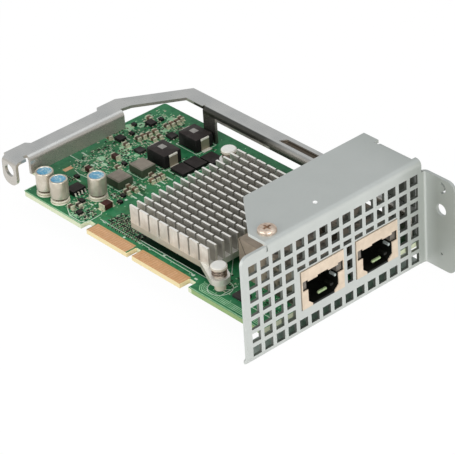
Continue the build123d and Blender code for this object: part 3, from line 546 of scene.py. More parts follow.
railPaint = {
    # painted shade on the upright faces and in a band on the wall
    "upright": (196, 192, 184), "wallShadeBand": (40, 42, 36), "bandBox": ((-52.0, 65.7, 10.5), (44.0, 0.9, 1.0)),
    "bandSoft": 0.3, "bandFade": (-64.0, -52.0, 0.92, 0.3),
    # painted shade on the wall's lower edge, greenish as a painted reflection of the board, on the left
    # leg and in the pressed pocket
    "boxes": (
        ((-34.0, 65.7, 8.9), (27.0, 0.9, 0.5), (48, 58, 46), 0.85, {"Softness": 0.25}),
        ((-90.2, 65.7, 5.0), (3.6, 0.9, 5.2), (56, 56, 50), 0.85, {"Softness": 0.4}),
        ((-51.0, 69.5, 10.2), (8.4, 2.5, 1.1), (84, 74, 62), 1.0),
    ),
}


def paintRail(tree, where, colour):
    # paler on top, with a painted shade on the upright faces and in a band on the wall that fades toward
    # the plate
    p = railPaint
    # painted shade on the faces that don't look up
    colour = mixColour(tree, place(tree, "facing")["Up"], tone(*p["upright"]), colour)
    # painted shade in a band on the wall, fading toward the plate
    wallShadeBand = boxMask(tree, where, *p["bandBox"], Softness=p["bandSoft"])
    wallShadeBand = times(tree, wallShadeBand, spread(tree, axesOf(tree, where)[0], *p["bandFade"]))
    colour = mixColour(tree, wallShadeBand, colour, tone(*p["wallShadeBand"]))
    return paintBoxes(tree, where, colour, p["boxes"])


coolerPaint = {
    # painted light on the tops, and painted shade between the blades
    "sawn": (254, 253, 248),
    # painted shade on the inner faces of the blades, and a darker near rim of the base
    "boxes": (
        ((-48.4, 37.0, 8.0), (17.3, 22.2, 3.4), (180, 178, 171), 0.8),
        ((-48.4, 13.8, 3.5), (17.8, 0.5, 1.0), (190, 188, 176), 0.7),
    ),
}


def paintCooler(tree, where, colour):
    # painted shade between the blades, with painted light on the tops
    colour = paintBoxes(tree, where, colour, coolerPaint["boxes"])
    # painted light on the faces that look up
    return mixColour(tree, place(tree, "facing")["Up"], colour, tone(*coolerPaint["sawn"]))


canPaint = {
    # painted shade in the neck above the foot
    "neck": (((-96.9, 15.0, 1.4), (20.0, 20.0, 0.36), (92, 78, 64), 1.0, {"Softness": 0.12}),),
    "strokes": {"Scale": 1.5, "Detail": 2.0}, "worn": (214, 230, 230), "wornShares": (0.5, 0.58, 0.0, 0.6),
    "deep": (64, 150, 196), "deepShares": (0.42, 1.0, 0.0, 0.85),
}


def paintCan(tree, where, colour):
    # painted shade in the neck above the foot
    return paintBoxes(tree, where, colour, canPaint["neck"])


def ownTint(tree):
    return newNode(tree, "Attribute", {}, attribute_name="tint").outputs["Fac"]


def paintPrint(tree, where, colour):
    # a printed disc with lighter worn strokes, which is a deeper blue toward its near side
    p = canPaint
    strokes = newNode(tree, "TexNoise", {"Vector": where, **p["strokes"]}).outputs[0]
    colour = mixColour(tree, spread(tree, strokes, *p["wornShares"]), colour, tone(*p["worn"]))
    return mixColour(tree, spread(tree, ownTint(tree), *p["deepShares"]), colour, tone(*p["deep"]))


ceramicPaint = {"pale": (132, 104, 78), "dark": (48, 36, 28)}


def paintCeramic(tree, where, colour):
    # small bodies that differ a little: each one's own tint runs from the pale to the dark colour
    own = mixColour(tree, ownTint(tree), tone(*ceramicPaint["pale"]), tone(*ceramicPaint["dark"]))
    return mixColour(tree, 1.0, own, colour, "MULTIPLY")


# each finish has its colour, its shade, its roughness from low to high, and what differs from plain;
# a side colour among these is a painted shade on the faces that don't look up
finishValues = {
    "boardMask": ((46, 134, 86), (36, 110, 70), (0.3, 0.45), dict(
        paint=paintBoard, shine=0.22, patch=0.12, scale=2.2, depth=0.08, tint=0.3)),
    "plateSheet": ((206, 210, 206), (202, 206, 202), (0.42, 0.56), dict(
        paint=paintPlate, metallic=0.5, patch=0.12, stretch=(1, 0.25, 1), scale=3.0, depth=0.06, tint=0.3)),
    "jackShell": ((238, 220, 198), (222, 204, 182), (0.36, 0.5), dict(
        paint=paintShell, metallic=0.35, shine=0.3, patch=0.3, stretch=(1.0, 1.0, 0.3), tint=0.2)),
    "railSheet": ((206, 207, 205), (196, 198, 197), (0.26, 0.32), dict(
        paint=paintRail, metallic=0.78, stretch=(0.2, 1.0, 1.0), scale=3.0, depth=0.012)),
    "coolerMetal": ((244, 240, 231), (204, 200, 190), (0.34, 0.52), dict(
        paint=paintCooler, metallic=0.65, patch=0.25, stretch=(1, 1, 0.06), scale=3.4, depth=0.12, tint=0.6)),
    "canMetal": ((224, 216, 202), (192, 184, 168), (0.3, 0.44), dict(
        paint=paintCan, metallic=0.7, patch=0.3, stretch=(0.3, 0.3, 2.0), scale=2.5, depth=0.06, tint=0.35)),
    "canPrint": ((134, 192, 212), (88, 164, 200), (0.35, 0.5), dict(
        paint=paintPrint, patch=0.5, scale=3.0, depth=0.06, tint=0.3)),
    "screwSteel": ((236, 220, 204), (196, 174, 156), (0.28, 0.4), dict(
        metallic=0.8, patch=0.8, scale=8.0, depth=0.1, tint=0.25)),
    "jackMoulding": ((24, 26, 22), (14, 16, 13), (0.35, 0.5), dict(
        shine=0.3, patch=0.4, scale=10.0, depth=0.15)),
    "lightPipe": ((128, 120, 110), (100, 96, 90), (0.2, 0.35), dict(patch=0.8, scale=6.0, depth=0.04)),
    "jackWire": ((214, 178, 96), (190, 150, 70), (0.2, 0.32), dict(metallic=0.95, scale=8.0, depth=0.03)),
    "chipBlack": ((52, 47, 46), (42, 38, 37), (0.5, 0.66), dict(
        shine=0.2, patch=0.6, scale=12.0, depth=0.18, dust=0.08, side=(16, 16, 16))),
    "padGrey": ((140, 140, 138), (120, 120, 118), (0.7, 0.85), dict(scale=6.0, depth=0.2)),
    "pinNylon": ((254, 254, 250), (246, 246, 241), (0.5, 0.65), dict(
        patch=0.8, scale=9.0, depth=0.08, tint=0.3, side=(206, 196, 180))),
    "springSteel": ((176, 160, 146), (120, 104, 92), (0.25, 0.4), dict(metallic=0.85, scale=8.0)),
    "clipTin": ((238, 236, 224), (220, 216, 200), (0.28, 0.45), dict(
        metallic=0.4, patch=1.0, scale=6.0, depth=0.1, tint=0.3, side=(150, 142, 122))),
    "filterTaupe": ((152, 144, 132), (136, 128, 118), (0.55, 0.72), dict(
        shine=0.2, patch=0.5, scale=9.0, depth=0.2, tint=0.3, dust=0.12, side=(66, 78, 60))),
    "tantalumBrown": ((74, 34, 28), (50, 24, 20), (0.4, 0.55), dict(
        shine=0.3, patch=0.7, scale=10.0, depth=0.12)),
    "resistorBlack": ((40, 38, 34), (28, 26, 24), (0.4, 0.55), dict(
        shine=0.3, patch=0.8, scale=9.0, depth=0.1)),
    "solderTin": ((232, 230, 206), (196, 198, 170), (0.28, 0.44), dict(
        metallic=0.4, patch=1.2, scale=5.0, depth=0.12, tint=0.3)),
    "solderDull": ((176, 182, 152), (140, 150, 120), (0.34, 0.5), dict(
        metallic=0.3, patch=1.2, scale=5.0, depth=0.12, tint=0.3)),
    "glowGreen": ((190, 206, 160), (150, 176, 126), (0.3, 0.45), dict(
        patch=1.2, scale=7.0, depth=0.08, tint=0.3)),
    "latchGrey": ((206, 216, 214), (176, 188, 186), (0.3, 0.45), dict(
        metallic=0.3, patch=1.2, scale=7.0, depth=0.08, tint=0.3)),
    "goldPlate": ((238, 194, 152), (228, 178, 132), (0.3, 0.44), dict(
        metallic=0.6, patch=0.6, stretch=(1.0, 0.3, 1.0), scale=6.0, depth=0.04, tint=0.3)),
    "silkWhite": ((226, 240, 224), (196, 222, 198), (0.6, 0.75), dict(patch=2.0, scale=8.0, depth=0.1)),
    "trackGreen": ((180, 226, 186), (140, 198, 150), (0.36, 0.5), dict(shine=0.25, patch=0.5, scale=5.0)),
    "paleMask": ((190, 234, 194), (140, 200, 152), (0.36, 0.5), dict(
        shine=0.25, patch=0.9, scale=5.0, tint=0.3)),
    "coverTrack": ((70, 134, 84), (62, 124, 76), (0.3, 0.42), dict(shine=0.25, patch=0.5, scale=5.0)),
    "creamMoulding": ((236, 232, 214), (214, 209, 188), (0.35, 0.5), dict(
        patch=0.6, scale=7.0, depth=0.08, tint=0.25)),
    "markGrey": ((176, 174, 168), (146, 144, 140), (0.5, 0.7), dict(
        patch=1.2, scale=7.0, depth=0.15, tint=0.4)),
    "markTin": ((248, 246, 236), (226, 222, 206), (0.3, 0.45), dict(
        metallic=0.2, patch=1.2, scale=7.0, depth=0.1, tint=0.3)),
    "markWhite": ((214, 206, 198), (190, 182, 174), (0.5, 0.7), dict(
        patch=1.2, scale=7.0, depth=0.15, tint=0.4)),
    "inductorBlack": ((52, 46, 44), (42, 37, 36), (0.5, 0.66), dict(
        shine=0.2, patch=0.5, scale=9.0, depth=0.2, dust=0.08, side=(16, 15, 14))),
}
finish = {
    name: makeFinish(name, tone(*colour), tone(*shade), rough, **more)
    for name, (colour, shade, rough, more) in finishValues.items()
}
finish["ceramicBodies"] = makeFinish(
    "ceramicBodies", (1, 1, 1, 1), (0.84, 0.84, 0.84, 1), (0.42, 0.58), paint=paintCeramic, patch=0.5,
    scale=8.0, depth=0.1, tint=0.2)
print("finishes made:", len(finish))

# the finish of every node, by the longest of these that its name starts with
nodeFinish = {
    "front_plate": "plateSheet", "rail_frame": "railSheet", "cover_screw": "screwSteel",
    "circuit_board": "boardMask", "edge_contacts": "goldPlate", "heatsink": "coolerMetal",
    "controller_chip": "chipBlack", "thermal_pad": "padGrey", "memory_chip": "chipBlack",
    "memory_chip_leads": "markTin", "jack_shield": "jackShell", "jack_housing": "jackMoulding",
    "jack_light_pipes": "lightPipe", "jack_wires": "jackWire", "inductor_clips": "clipTin",
    "filter_inductor": "filterTaupe", "power_inductor": "inductorBlack", "push_pin": "pinNylon",
    "pin_spring": "springSteel", "small_chip": "chipBlack", "power_stage": "chipBlack",
    "transistors": "chipBlack", "tantalum_capacitor": "tantalumBrown", "capacitor_can": "canMetal",
    "capacitor_base": "creamMoulding", "ceramic_capacitors": "ceramicBodies", "resistors": "resistorBlack",
}
for node, solid in nodes.items():
    start = max((name for name in nodeFinish if node.startswith(name)), key=len)
    solid.data.materials.clear()
    solid.data.materials.append(finish[nodeFinish[start]])
print("nodes finished:", len(nodes))

capacitor = {
    "lip": 0.34, "rim": 0.36, "sunk": 0.26, "neck": 0.5, "neckTop": 2.0, "neckDrop": 0.5, "neckCurve": 0.3,
    "neckTurn": -70, "printGap": 0.24, "printLow": 0.1, "printHigh": 0.02, "printMiddle": 0.03,
    "tintWay": (-0.42, -0.9), "footHigh": 0.3, "footEdge": 0.14, "step": 0.62, "ringLow": 0.58,
    "ringHigh": 1.15, "ringOut": 0.05,
}


def arc(centre, radius, first, last, steps=7):
    # points (radius, height) along a circle's part, angles in degrees
    turn = np.radians(np.linspace(first, last, steps))
    return np.column_stack([centre[0] + radius * np.cos(turn), centre[1] + radius * np.sin(turn)]).tolist()


def capacitors():
    # three turned shapes each: the wall with its neck and rolled lip, the printed disc sunk in the
    # lip, and the foot with its bulging ring
    c = capacitor
    for number in (1, 2, 3):
        low, high = cardBox(f"capacitor_can_{number}")
        baseLow, baseHigh = cardBox(f"capacitor_base_{number}")
        centre = (low[:2] + high[:2]) / 2
        radius = (high[0] - low[0]) / 2
        inner, sunk = radius - c["neck"], high[2] - c["sunk"]
        wall = [[0, low[2]], [inner, low[2]], [inner, c["neckTop"] - c["neckDrop"]]]
        wall += arc((radius - c["neckCurve"], c["neckTop"]), c["neckCurve"], c["neckTurn"], 0, 5)
        wall += arc((radius - c["lip"], high[2] - c["lip"]), c["lip"], 0, 90)
        wall += arc((radius - c["rim"], sunk), c["sunk"], 90, 180, 5)
        wall += [[0, sunk]]
        closedPiece(f"capacitorWall{number}", revolved(wall, centre), "canMetal",
                    stands=(f"capacitor_can_{number}",))
        reach = radius - c["rim"] - c["printGap"]
        disc = [[0, sunk - c["printLow"]], [reach, sunk - c["printLow"]], [reach, sunk + c["printHigh"]],
                [0, sunk + c["printMiddle"]]]
        points, faces = revolved(disc, centre)
        # the tint rises across the disc, from 0 on its far side to 1 on its near side
        across = (points[:, :2] - centre) @ np.array(c["tintWay"]) / reach
        closedPiece(f"capacitorPrint{number}", (points, faces), "canPrint",
                    tint=0.5 + across / 2)
        reach = (baseHigh[0] - baseLow[0]) / 2
        half = (c["ringHigh"] - c["ringLow"]) / 2
        foot = [[0, baseLow[2]], [reach, baseLow[2]]]
        foot += arc((reach - c["footEdge"], c["footHigh"] - c["footEdge"]), c["footEdge"], 0, 90, 5)
        foot += [[radius - c["step"], c["footHigh"]], [radius - c["step"], c["ringLow"]]]
        foot += arc((radius - half + c["ringOut"], c["ringLow"] + half), half, -90, 90, 9)
        foot += [[0, c["ringHigh"]]]
        closedPiece(f"capacitorFoot{number}", revolved(foot, centre), "creamMoulding",
                    stands=(f"capacitor_base_{number}",))


capacitors()
print("round capacitors turned")

smallPart = {
    "bodyDrop": 0.06, "bodyInset": 0.8, "bodyEdge": 0.05, "endEdge": 0.08, "endEdgeShare": 0.16,
    "padOut": 0.45, "padOutShare": 0.22, "padSide": 0.12, "padHigh": 0.03, "padEdge": 0.01,
    "legWide": 0.36, "legOut": 0.42, "legIn": 0.05, "legHigh": 0.3, "legEdge": 0.06,
}


def twoEnded(node, name, bodyFinish, seed, share):
    # each solid of the node becomes a body between two tinned ends; gives the boxes of the pads
    # under the ends, which are wider and reach out away from the body
    low, high = solidBoxes(node)
    p = smallPart
    size = high - low
    lengthwise = (size[:, 0] < size[:, 1]).astype(int)
    rows = np.arange(len(low))
    length = size[rows, lengthwise]
    bodyLow, bodyHigh, nearHigh, farLow = low.copy(), high.copy(), high.copy(), low.copy()
    bodyLow[rows, lengthwise] += length * share * p["bodyInset"]
    bodyHigh[rows, lengthwise] -= length * share * p["bodyInset"]
    bodyHigh[:, 2] -= p["bodyDrop"] * size[:, 2]
    tint = np.random.default_rng(seed).random(len(low))
    body = blockSet(bodyLow, bodyHigh, p["bodyEdge"])
    closedPiece(name + "Bodies", body, bodyFinish, stands=(node,), tint=tint)
    nearHigh[rows, lengthwise] = low[rows, lengthwise] + length * share
    farLow[rows, lengthwise] = high[rows, lengthwise] - length * share
    endLow, endHigh = np.concatenate([low, farLow]), np.concatenate([nearHigh, high])
    edge = np.tile(np.minimum(size.min(axis=1) * p["endEdgeShare"], p["endEdge"]), 2)
    closedPiece(name + "Ends", blockSet(endLow, endHigh, edge),
                "solderDull" if node == "resistors" else "solderTin")
    endLow[:, :2] -= p["padSide"]
    endHigh[:, :2] += p["padSide"]
    endLow[:, 2], endHigh[:, 2] = card["sunk"], p["padHigh"]
    out = np.minimum(length * p["padOutShare"], p["padOut"])
    endLow[rows, lengthwise] -= out
    endHigh[rows + len(rows), lengthwise] += out
    return endLow, endHigh


# node, name, finish of the body, seed of its tints, and each end's share of the length
twoEndedParts = (
    ("ceramic_capacitors", "ceramic", "ceramicBodies", 3, 0.24),
    ("resistors", "resistor", "resistorBlack", 5, 0.24),
    ("tantalum_capacitor_1", "tantalum1", "tantalumBrown", 7, 0.13),
    ("tantalum_capacitor_2", "tantalum2", "tantalumBrown", 8, 0.13),
    ("tantalum_capacitor_3", "tantalum3", "tantalumBrown", 9, 0.11),
)
pads = {part[0]: twoEnded(*part) for part in twoEndedParts}
pads.pop("resistors")  # so small that their pads don't show
padLow, padHigh = (np.concatenate(corners) for corners in zip(*pads.values()))
closedPiece("solderPads", blockSet(padLow, padHigh, smallPart["padEdge"]), "solderTin")


def legs(node, name, along, places):
    # short tinned legs that come out of the sides of each solid, at shares of its width
    low, high = solidBoxes(node)
    p = smallPart
    across = 1 - along
    lows, highs = [], []
    for share, sides in places:
        middle = low[:, along] + (high[:, along] - low[:, along]) * share
        for side in sides:
            first, last = low.copy(), high.copy()
            first[:, along] = middle - p["legWide"] / 2
            last[:, along] = middle + p["legWide"] / 2
            wall = (low if side < 0 else high)[:, across]
            nearer, farther = sorted((-side * p["legIn"], side * p["legOut"]))
            first[:, across], last[:, across] = wall + nearer, wall + farther
            first[:, 2], last[:, 2] = 0.0, p["legHigh"]
            lows.append(first)
            highs.append(last)
    closedPiece(name, blockSet(np.concatenate(lows), np.concatenate(highs), p["legEdge"]), "solderTin")


both = (-1, 1)
legs("transistors", "transistorLegs", 0, ((0.2, (-1,)), (0.8, (-1,)), (0.5, (1,))))
for number in (5, 6):
    legs(f"small_chip_{number}", f"chipLegs{number}", 1, ((0.14, both), (0.5, both), (0.86, both)))
for number in (1, 2, 3, 4):
    legs(f"small_chip_{number}", f"chipLegs{number}", 1, ((0.2, both), (0.8, both)))
print("small parts dressed")

inductor = {
    "corner": 0.5, "bevel": 0.28, "bevelShare": 0.3, "foot": 0.15, "markHigh": 0.03, "markLow": 0.05,
    "markEdge": 0.01, "markGap": 0.02, "bar": ((-4.62, -0.95), (-4.12, 2.1)),
    "patch": ((-2.2, -0.75), (0.2, 1.35)),
}


def powerInductors():
    # a pressed block with a softened top, a pale bar beside one edge and a worn square in the middle
    v = inductor
    for number in (1, 2):
        low, high = cardBox(f"power_inductor_{number}")
        centre, half = (low + high) / 2, (high - low) / 2
        top, bevel, foot = high[2] - v["markHigh"], v["bevel"], v["foot"]
        soft = bevel * v["bevelShare"]
        layers = [(foot, low[2]), (0.0, low[2] + foot), (0.0, top - bevel), (soft, top - soft), (bevel, top)]
        closedPiece(f"inductorBody{number}", layeredBlock(centre, half, v["corner"], layers), "inductorBlack",
                    stands=(f"power_inductor_{number}",))
        for key, name in (("bar", "markWhite"), ("patch", "markGrey")):
            first, last = (np.array(corner) + centre[:2] for corner in v[key])
            first = np.maximum(first, low[:2] + bevel + v["markGap"])
            mark = blockSet([*first, top - v["markLow"]], [*last, top + v["markHigh"]], v["markEdge"])
            closedPiece(f"{key}Mark{number}", mark, name)


clip = {
    "capIn": 0.2, "capOut": 0.36, "capHigh": 0.62, "capOver": 0.06, "footIn": 0.1, "footOut": 1.55,
    "footHigh": 0.34, "side": 0.05, "edge": 0.1,
}


def clipBends():
    # the bend over each clip's top edge, bright on all its faces as a painted highlight, and its flat foot
    c = clip
    lows, highs = [], []
    for number in (1, 2):
        bodyLow, bodyHigh = cardBox(f"power_inductor_{number}")
        for first, last in zip(*solidBoxes(f"inductor_clips_{number}")):
            sign = 1 if first[0] > bodyLow[0] else -1
            wall = (bodyHigh if sign > 0 else bodyLow)[0]
            for inner, outer, bottom, top in (
                    (-c["capIn"], c["capOut"], last[2] - c["capHigh"], last[2] + c["capOver"]),
                    (c["footIn"], c["footOut"], 0.0, c["footHigh"])):
                left, right = sorted((wall + sign * inner, wall + sign * outer))
                lows.append((left, first[1] - c["side"], bottom))
                highs.append((right, last[1] + c["side"], top))
    closedPiece("clipBends", blockSet(lows, highs, c["edge"]), "markTin")


powerInductors()
clipBends()
print("inductors dressed")

jackInside = {
    "middles": (29.7, 51.3), "block": ((-1.0, -1.6, 2.15), (-0.3, 1.8, 2.85)),
    "bar": ((-2.6, 4.9, 4.9), (-0.3, 5.6, 5.7)), "steps": ((-3.4, 3.4, 2.2), (-0.6, 4.6, 3.0)), "edge": 0.08,
}


def jackInsides():
    # what shows in each socket: a pale light guide at the sill, the latch bar and a stepped block
    v = jackInside
    for key, name in (("block", "glowGreen"), ("bar", "latchGrey"), ("steps", "jackMoulding")):
        low, high = ([np.add(corner, (0, middle, 0)) for middle in v["middles"]] for corner in v[key])
        closedPiece(key + "InJacks", blockSet(low, high, v["edge"]), name)


jackInsides()
print("jacks dressed")

# Places on the board's top. Lines are corner points, bars and blobs are centres with their sizes,
# and areas are low corners, high corners, how many marks they hold, each mark's size and the share
# of dark ones. Bare boxes keep vias and tracks away.
dressing = {
    "seed": 11, "silkWide": 0.26, "ringRadius": 3.8, "outline": 0.55, "cut": 0.02, "markCut": 0.01,
    "packageCut": 0.1, "blobSides": 24, "viaSides": 8,
    "high": {"silk": 0.03, "mark": 0.024, "blob": 0.0225, "via": 0.021, "bundle": 0.021, "edge": 0.015,
             "track": 0.012, "bit": 0.16},
    "outlined": ("filter_inductor_1", "filter_inductor_2", "power_inductor_1", "power_inductor_2",
                 "power_stage_1", "power_stage_2", "power_stage_3"),
    "silk": (
        ((-79.6, 12.7), (-36.3, 12.3)), ((-62.0, 13.5), (-31.5, 13.6)),
        ((-92.5, 10.1), (-88.2, 7.7), (-83.0, 7.7), (-81.2, 9.0), (-81.6, 14.6), (-83.1, 16.5)),
        ((-107.6, 25.4), (-104.8, 24.8), (-100.9, 25.2)), ((-108.3, 35.4), (-104.3, 34.1), (-101.3, 33.6)),
        ((-22.5, 10.9), (-22.5, 17.1)), ((-36.0, 27.6), (-28.0, 19.6)),
        ((-89.9, 10.6), (-89.9, 13.4), (-88.6, 14.6)),
        ((-116.0, 30.0), (-110.6, 30.0), (-108.6, 32.0)), ((-107.0, 40.6), (-103.6, 40.6), (-102.2, 42.0)),
        ((-112.4, 45.0), (-112.4, 49.0), (-109.0, 49.0)), ((-102.4, 63.6), (-98.0, 63.6), (-98.0, 67.0)),
        ((-28.0, 12.4), (-24.6, 12.4), (-22.5, 14.5)), ((-16.0, 12.6), (-3.0, 12.6)),
    ),
    "bars": (
        (-81.9, 42.3, 3.0, 0.5), (-81.7, 39.3, 2.6, 0.5), (-81.7, 37.3, 2.6, 0.5), (-81.7, 30.2, 2.6, 0.5),
        (-81.7, 27.8, 2.6, 0.5), (-84.4, 33.6, 3.2, 0.5), (-98.4, 26.6, 0.7, 2.2), (-102.2, 22.3, 2.6, 0.6),
        (-100.2, 25.8, 0.8, 0.8), (-87.2, 24.1, 1.6, 0.8), (-88.8, 33.3, 1.4, 0.8), (-82.6, 19.6, 0.4, 1.2),
        (-87.9, 16.2, 1.2, 0.6), (-85.5, 15.4, 0.8, 0.6), (-84.8, 12.9, 0.7, 0.7), (-60.7, 12.4, 1.1, 0.8),
        (-56.0, 12.3, 1.0, 0.7), (-50.3, 12.9, 1.0, 0.7), (-36.3, 12.0, 1.2, 0.9), (-34.1, 11.2, 1.2, 0.7),
        (-77.4, 12.6, 1.3, 0.8), (-90.6, 21.4, 0.8, 1.4), (-96.0, 23.8, 1.0, 0.8), (-66.6, 11.2, 0.8, 0.8),
        (-105.6, 31.0, 1.6, 0.5), (-105.6, 32.4, 1.6, 0.5), (-113.0, 33.6, 2.4, 0.6), (-97.6, 41.2, 0.6, 1.6),
        (-82.3, 25.1, 0.9, 0.9), (-98.2, 56.2, 0.6, 1.8), (-106.6, 51.2, 1.8, 0.6), (-112.6, 64.4, 0.7, 2.0),
    ),
    "blobs": (
        (-106.0, 44.7, 2.0), (-108.2, 46.4, 1.4), (-103.2, 42.6, 1.3), (-100.1, 44.5, 1.0),
        (-106.8, 35.5, 1.3), (-103.4, 33.7, 1.0), (-105.3, 60.6, 1.5), (-115.2, 53.8, 1.9),
        (-113.6, 57.4, 1.4), (-98.6, 51.8, 0.9), (-108.6, 66.2, 1.6), (-115.4, 62.6, 1.5),
        (-111.3, 59.4, 1.0), (-88.3, 8.6, 0.9), (-87.0, 9.4, 1.1),
    ),
    "areas": (
        ((-77.6, 13.9), (-61.6, 20.0), 330, 0.36, 0.45), ((-89.4, 8.4), (-82.0, 13.8), 110, 0.42, 0.3),
        ((-112.6, 26.0), (-97.0, 42.0), 300, 0.42, 0.14),
        ((-116.6, 40.0), (-97.0, 68.6), 400, 0.42, 0.16), ((-97.0, 10.0), (-84.0, 27.0), 160, 0.4, 0.25),
        ((-88.0, 40.0), (-78.0, 64.0), 90, 0.34, 0.2), ((-66.0, 60.4), (-31.0, 64.6), 60, 0.34, 0.1),
        ((-29.0, 12.4), (-3.0, 20.4), 90, 0.4, 0.35), ((-96.0, 26.6), (-82.0, 45.0), 120, 0.4, 0.15),
    ),
    "markHalf": (0.9, 0.42), "markSizes": (0.7, 1.2), "padOrDashShares": (0.55, 0.45),
    "bundle": ((-29.9, 12.0), (-29.9, 10.2), (-28.7, 9.0), (-3.0, 9.0)), "bundleCount": 4,
    "bundlePitch": 0.6, "bundleWide": 0.28,
    "bare": (((-84.0, 5.0), (-30.6, 11.6)), ((-66.0, 12.4), (-30.8, 19.0))),
    "viaRadius": 0.2, "viaCount": 420, "tracks": 130, "trackWide": 0.22, "trackPitch": 0.46,
    "trackRuns": ((2.5, 0.8, 2.0), (9.0, 3.0, 8.0)), "trackCopies": (2, 6), "trackMargin": 1,
    "boardLow": (-117.0, 8.2), "boardHigh": (-3.0, 70.4), "step": (-109.4, 16.6), "edgeWide": 0.36,
    "edge": (((-118.1, 16.4), (-109.6, 16.4), (-109.6, 7.1), (-82.1, 7.1)), ((-32.3, 7.1), (-1.6, 7.1))),
    "goldStrip": ((-110.6, 22.7), (-108.9, 26.0)), "package": ((-19.6, 12.2), (-15.0, 15.7), 1.0),
}


def ring(centre, radius, steps=28):
    # points at equal turns round a centre, the last one on the first
    turn = np.linspace(0, 2 * np.pi, steps)
    return np.column_stack([centre[0] + radius * np.cos(turn), centre[1] + radius * np.sin(turn)])


def flatBoxes(first, last, top):
    # low and high corners of thin boxes on the board, from just under its top
    first, last = np.atleast_2d(first), np.atleast_2d(last)
    bottom = np.full(len(first), card["sunk"])
    return np.column_stack([first, bottom]), np.column_stack([last, np.full(len(last), top)])


def boardDressing():
    # outlines, bars, small marks, pale areas, vias, tracks and edge lines, all flat on the board
    d = dressing
    draw = np.random.default_rng(d["seed"])
    high, sunk = d["high"], card["sunk"]
    paths = [np.array(path) for path in d["silk"]]
    for node in d["outlined"]:
        low, top = cardBox(node)
        x0, y0 = low[:2] - d["outline"]
        x1, y1 = top[:2] + d["outline"]
        paths.append(np.array([(x0, y0), (x1, y0), (x1, y1), (x0, y1), (x0, y0)]))
    for side in ("near", "far"):
        low, top = cardBox(f"push_pin_{side}")
        paths.append(ring((low + top) / 2, d["ringRadius"]))
    parts = [ribbon(path, d["silkWide"], sunk, high["silk"]) for path in paths]
    closedPiece("silkLines", joined(parts), "silkWhite")

    bars = np.array(d["bars"])
    boxes = flatBoxes(bars[:, :2] - bars[:, 2:] / 2, bars[:, :2] + bars[:, 2:] / 2, high["silk"])
    closedPiece("barMarks", blockSet(*boxes, d["cut"]), "silkWhite")

    lows, tops, kinds = [], [], []
    for first, last, count, size, dark in d["areas"]:
        spots = draw.uniform(first, last, (count, 2))
        long = draw.random((count, 1)) < 0.5
        half = np.where(long, d["markHalf"], d["markHalf"][::-1]) * size
        half = half * draw.uniform(*d["markSizes"], (count, 1))
        low, top = flatBoxes(spots - half, spots + half, high["mark"])
        lows.append(low)
        tops.append(top)
        kinds.append(draw.choice(3, count, p=(dark, *((1 - dark) * np.array(d["padOrDashShares"])))))
    low, top, kind = np.concatenate(lows), np.concatenate(tops), np.concatenate(kinds)
    top[kind == 0, 2] = high["bit"]
    bits, padMarks, dashes = (
        blockSet(low[kind == number], top[kind == number], cut)
        for number, cut in enumerate((d["cut"], d["markCut"], d["markCut"])))
    closedPiece("darkBits", bits, "resistorBlack")
    closedPiece("padMarks", padMarks, "solderTin")
    closedPiece("dashMarks", dashes, "trackGreen")

    blobs = [discs([blob[:2]], blob[2], sunk, high["blob"], d["blobSides"]) for blob in d["blobs"]]
    closedPiece("copperAreas", joined(blobs), "paleMask")
    spots = draw.uniform(d["boardLow"], d["boardHigh"], (d["viaCount"], 2))
    off = (spots < d["step"]).all(axis=1)
    for first, last in d["bare"]:
        off |= ((spots > first) & (spots < last)).all(axis=1)
    vias = discs(spots[~off], d["viaRadius"], sunk, high["via"], d["viaSides"])
    closedPiece("vias", vias, "trackGreen")

    # each bundle runs along X, turns aside by 45 degrees and runs on; every other one runs along Y
    margin = d["trackMargin"]
    lowest, highest = np.add(d["boardLow"], margin), np.subtract(d["boardHigh"], margin)
    stepEnd = np.add(d["step"], margin)
    parts = []
    for number in range(d["tracks"]):
        start = draw.uniform(d["boardLow"], d["boardHigh"])
        run, jog, after = draw.uniform(*d["trackRuns"])
        sign, side = draw.choice((-1, 1), 2)
        path = np.array([(0, 0), (run, 0), (run + jog, jog * side), (run + jog + after, jog * side)])
        path = path * (sign, 1)
        if number % 2:
            path = path[:, ::-1]
        path = path + start
        room = ((path > lowest) & (path < highest)).all()
        for first, last in d["bare"]:
            room &= (path.max(axis=0) < first).any() or (path.min(axis=0) > last).any()
        if room and not (path < stepEnd).all(axis=1).any():
            copies = int(draw.integers(*d["trackCopies"]))
            parts.append(ribbon(path, d["trackWide"], sunk, high["track"], copies, d["trackPitch"]))
    closedPiece("tracks", joined(parts), "coverTrack")
    bundle = ribbon(d["bundle"], d["bundleWide"], sunk, high["bundle"], d["bundleCount"], d["bundlePitch"])
    closedPiece("trackBundle", bundle, "trackGreen")
    edges = [ribbon(path, d["edgeWide"], sunk, high["edge"]) for path in d["edge"]]
    closedPiece("edgeLines", joined(edges), "trackGreen")
    strip = flatBoxes(*d["goldStrip"], high["silk"])
    closedPiece("goldStrip", blockSet(*strip, d["cut"]), "goldPlate")
    first, last, top = d["package"]
    package = blockSet([*first, 0], [*last, top], d["packageCut"])
    closedPiece("sidePackage", package, "chipBlack")


boardDressing()
print("board dressed")

# floor, camera and light
view = {
    "place": (0.435039, -0.44345, 0.39553), "turn": (57.2478, 3.3232, 48.0832), "lens": 200.44,
    "sensor": 36, "clipStart": 0.01, "floor": -0.0215, "floorSize": 6.0, "floorGlow": 1.05,
    "floorGlowShare": 0.92, "skyInReflections": 0.62, "skyLight": 0.34, "aim": (-0.06, -0.035, -0.01),
}
floorMesh = bpy.data.meshes.new("floor")
corners = [(x * view["floorSize"], y * view["floorSize"], view["floor"])
           for x, y in ((-1, -1), (1, -1), (1, 1), (-1, 1))]
floorMesh.from_pydata(corners, [], [(0, 1, 2, 3)])
floor = bpy.data.objects.new("floor", floorMesh)
bpy.context.scene.collection.objects.link(floor)


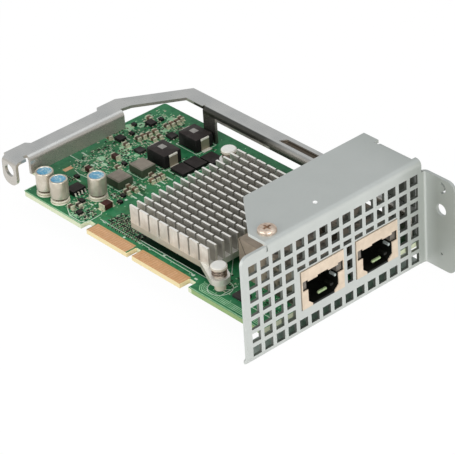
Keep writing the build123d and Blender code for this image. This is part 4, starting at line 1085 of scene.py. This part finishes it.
def floorMaterial():
    # pale matt floor that looks white to the camera and in reflections, and keeps a soft shadow
    material = makeFinish(
        "floorPale", (0.6, 0.6, 0.6, 1), (0.58, 0.58, 0.58, 1), (0.9, 0.95), shine=0.1, patch=0.01, scale=1.0,
        depth=0.0, tint=0.0)
    tree = material.node_tree
    glow = newNode(tree, "Emission", {"Strength": view["floorGlow"]})
    path = newNode(tree, "LightPath", {}).outputs
    seen = mathNode(tree, "MAXIMUM", path["Is Camera Ray"], path["Is Glossy Ray"])
    mix = newNode(tree, "MixShader", {
        0: times(tree, seen, view["floorGlowShare"]), 1: tree.nodes["Principled BSDF"].outputs[0],
        2: glow.outputs[0]})
    feed(tree, tree.nodes["Material Output"], {"Surface": mix.outputs[0]})
    return material


floorMesh.materials.append(floorMaterial())

lamps = {
    "key": {"place": (0.95, -0.30, 0.34), "size": 0.7, "power": 7.2},
    "fill": {"place": (-0.15, -0.95, 0.34), "size": 0.8, "power": 5.4},
    "top": {"place": (-0.05, 0.10, 0.9), "size": 0.9, "power": 1.7},
}
for name, values in lamps.items():
    lamp = bpy.data.lights.new(name, "AREA")
    lamp.size = values["size"]
    lamp.energy = values["power"]
    holder = bpy.data.objects.new(name, lamp)
    bpy.context.scene.collection.objects.link(holder)
    holder.location = values["place"]
    away = Vector(np.subtract(view["aim"], values["place"]))
    holder.rotation_euler = away.to_track_quat("-Z", "Y").to_euler()

world = bpy.data.worlds.new("studio")
bpy.context.scene.world = world
world.use_nodes = True
tree = world.node_tree
path = newNode(tree, "LightPath", {}).outputs
glossy = times(tree, path["Is Glossy Ray"], view["skyInReflections"])
direct = mathNode(tree, "MAXIMUM", path["Is Camera Ray"], glossy)
feed(tree, tree.nodes["Background"], {
    "Color": (1, 1, 1, 1), "Strength": mathNode(tree, "MAXIMUM", direct, view["skyLight"])})

cameraData = bpy.data.cameras.new("camera")
cameraData.lens = view["lens"]
cameraData.sensor_width = view["sensor"]
cameraData.clip_start = view["clipStart"]
camera = bpy.data.objects.new("camera", cameraData)
bpy.context.scene.collection.objects.link(camera)
camera.location = view["place"]
camera.rotation_euler = [math.radians(a) for a in view["turn"]]
bpy.context.scene.camera = camera
bpy.context.scene.view_settings.view_transform = "Standard"
print("floor, camera and lamps placed")
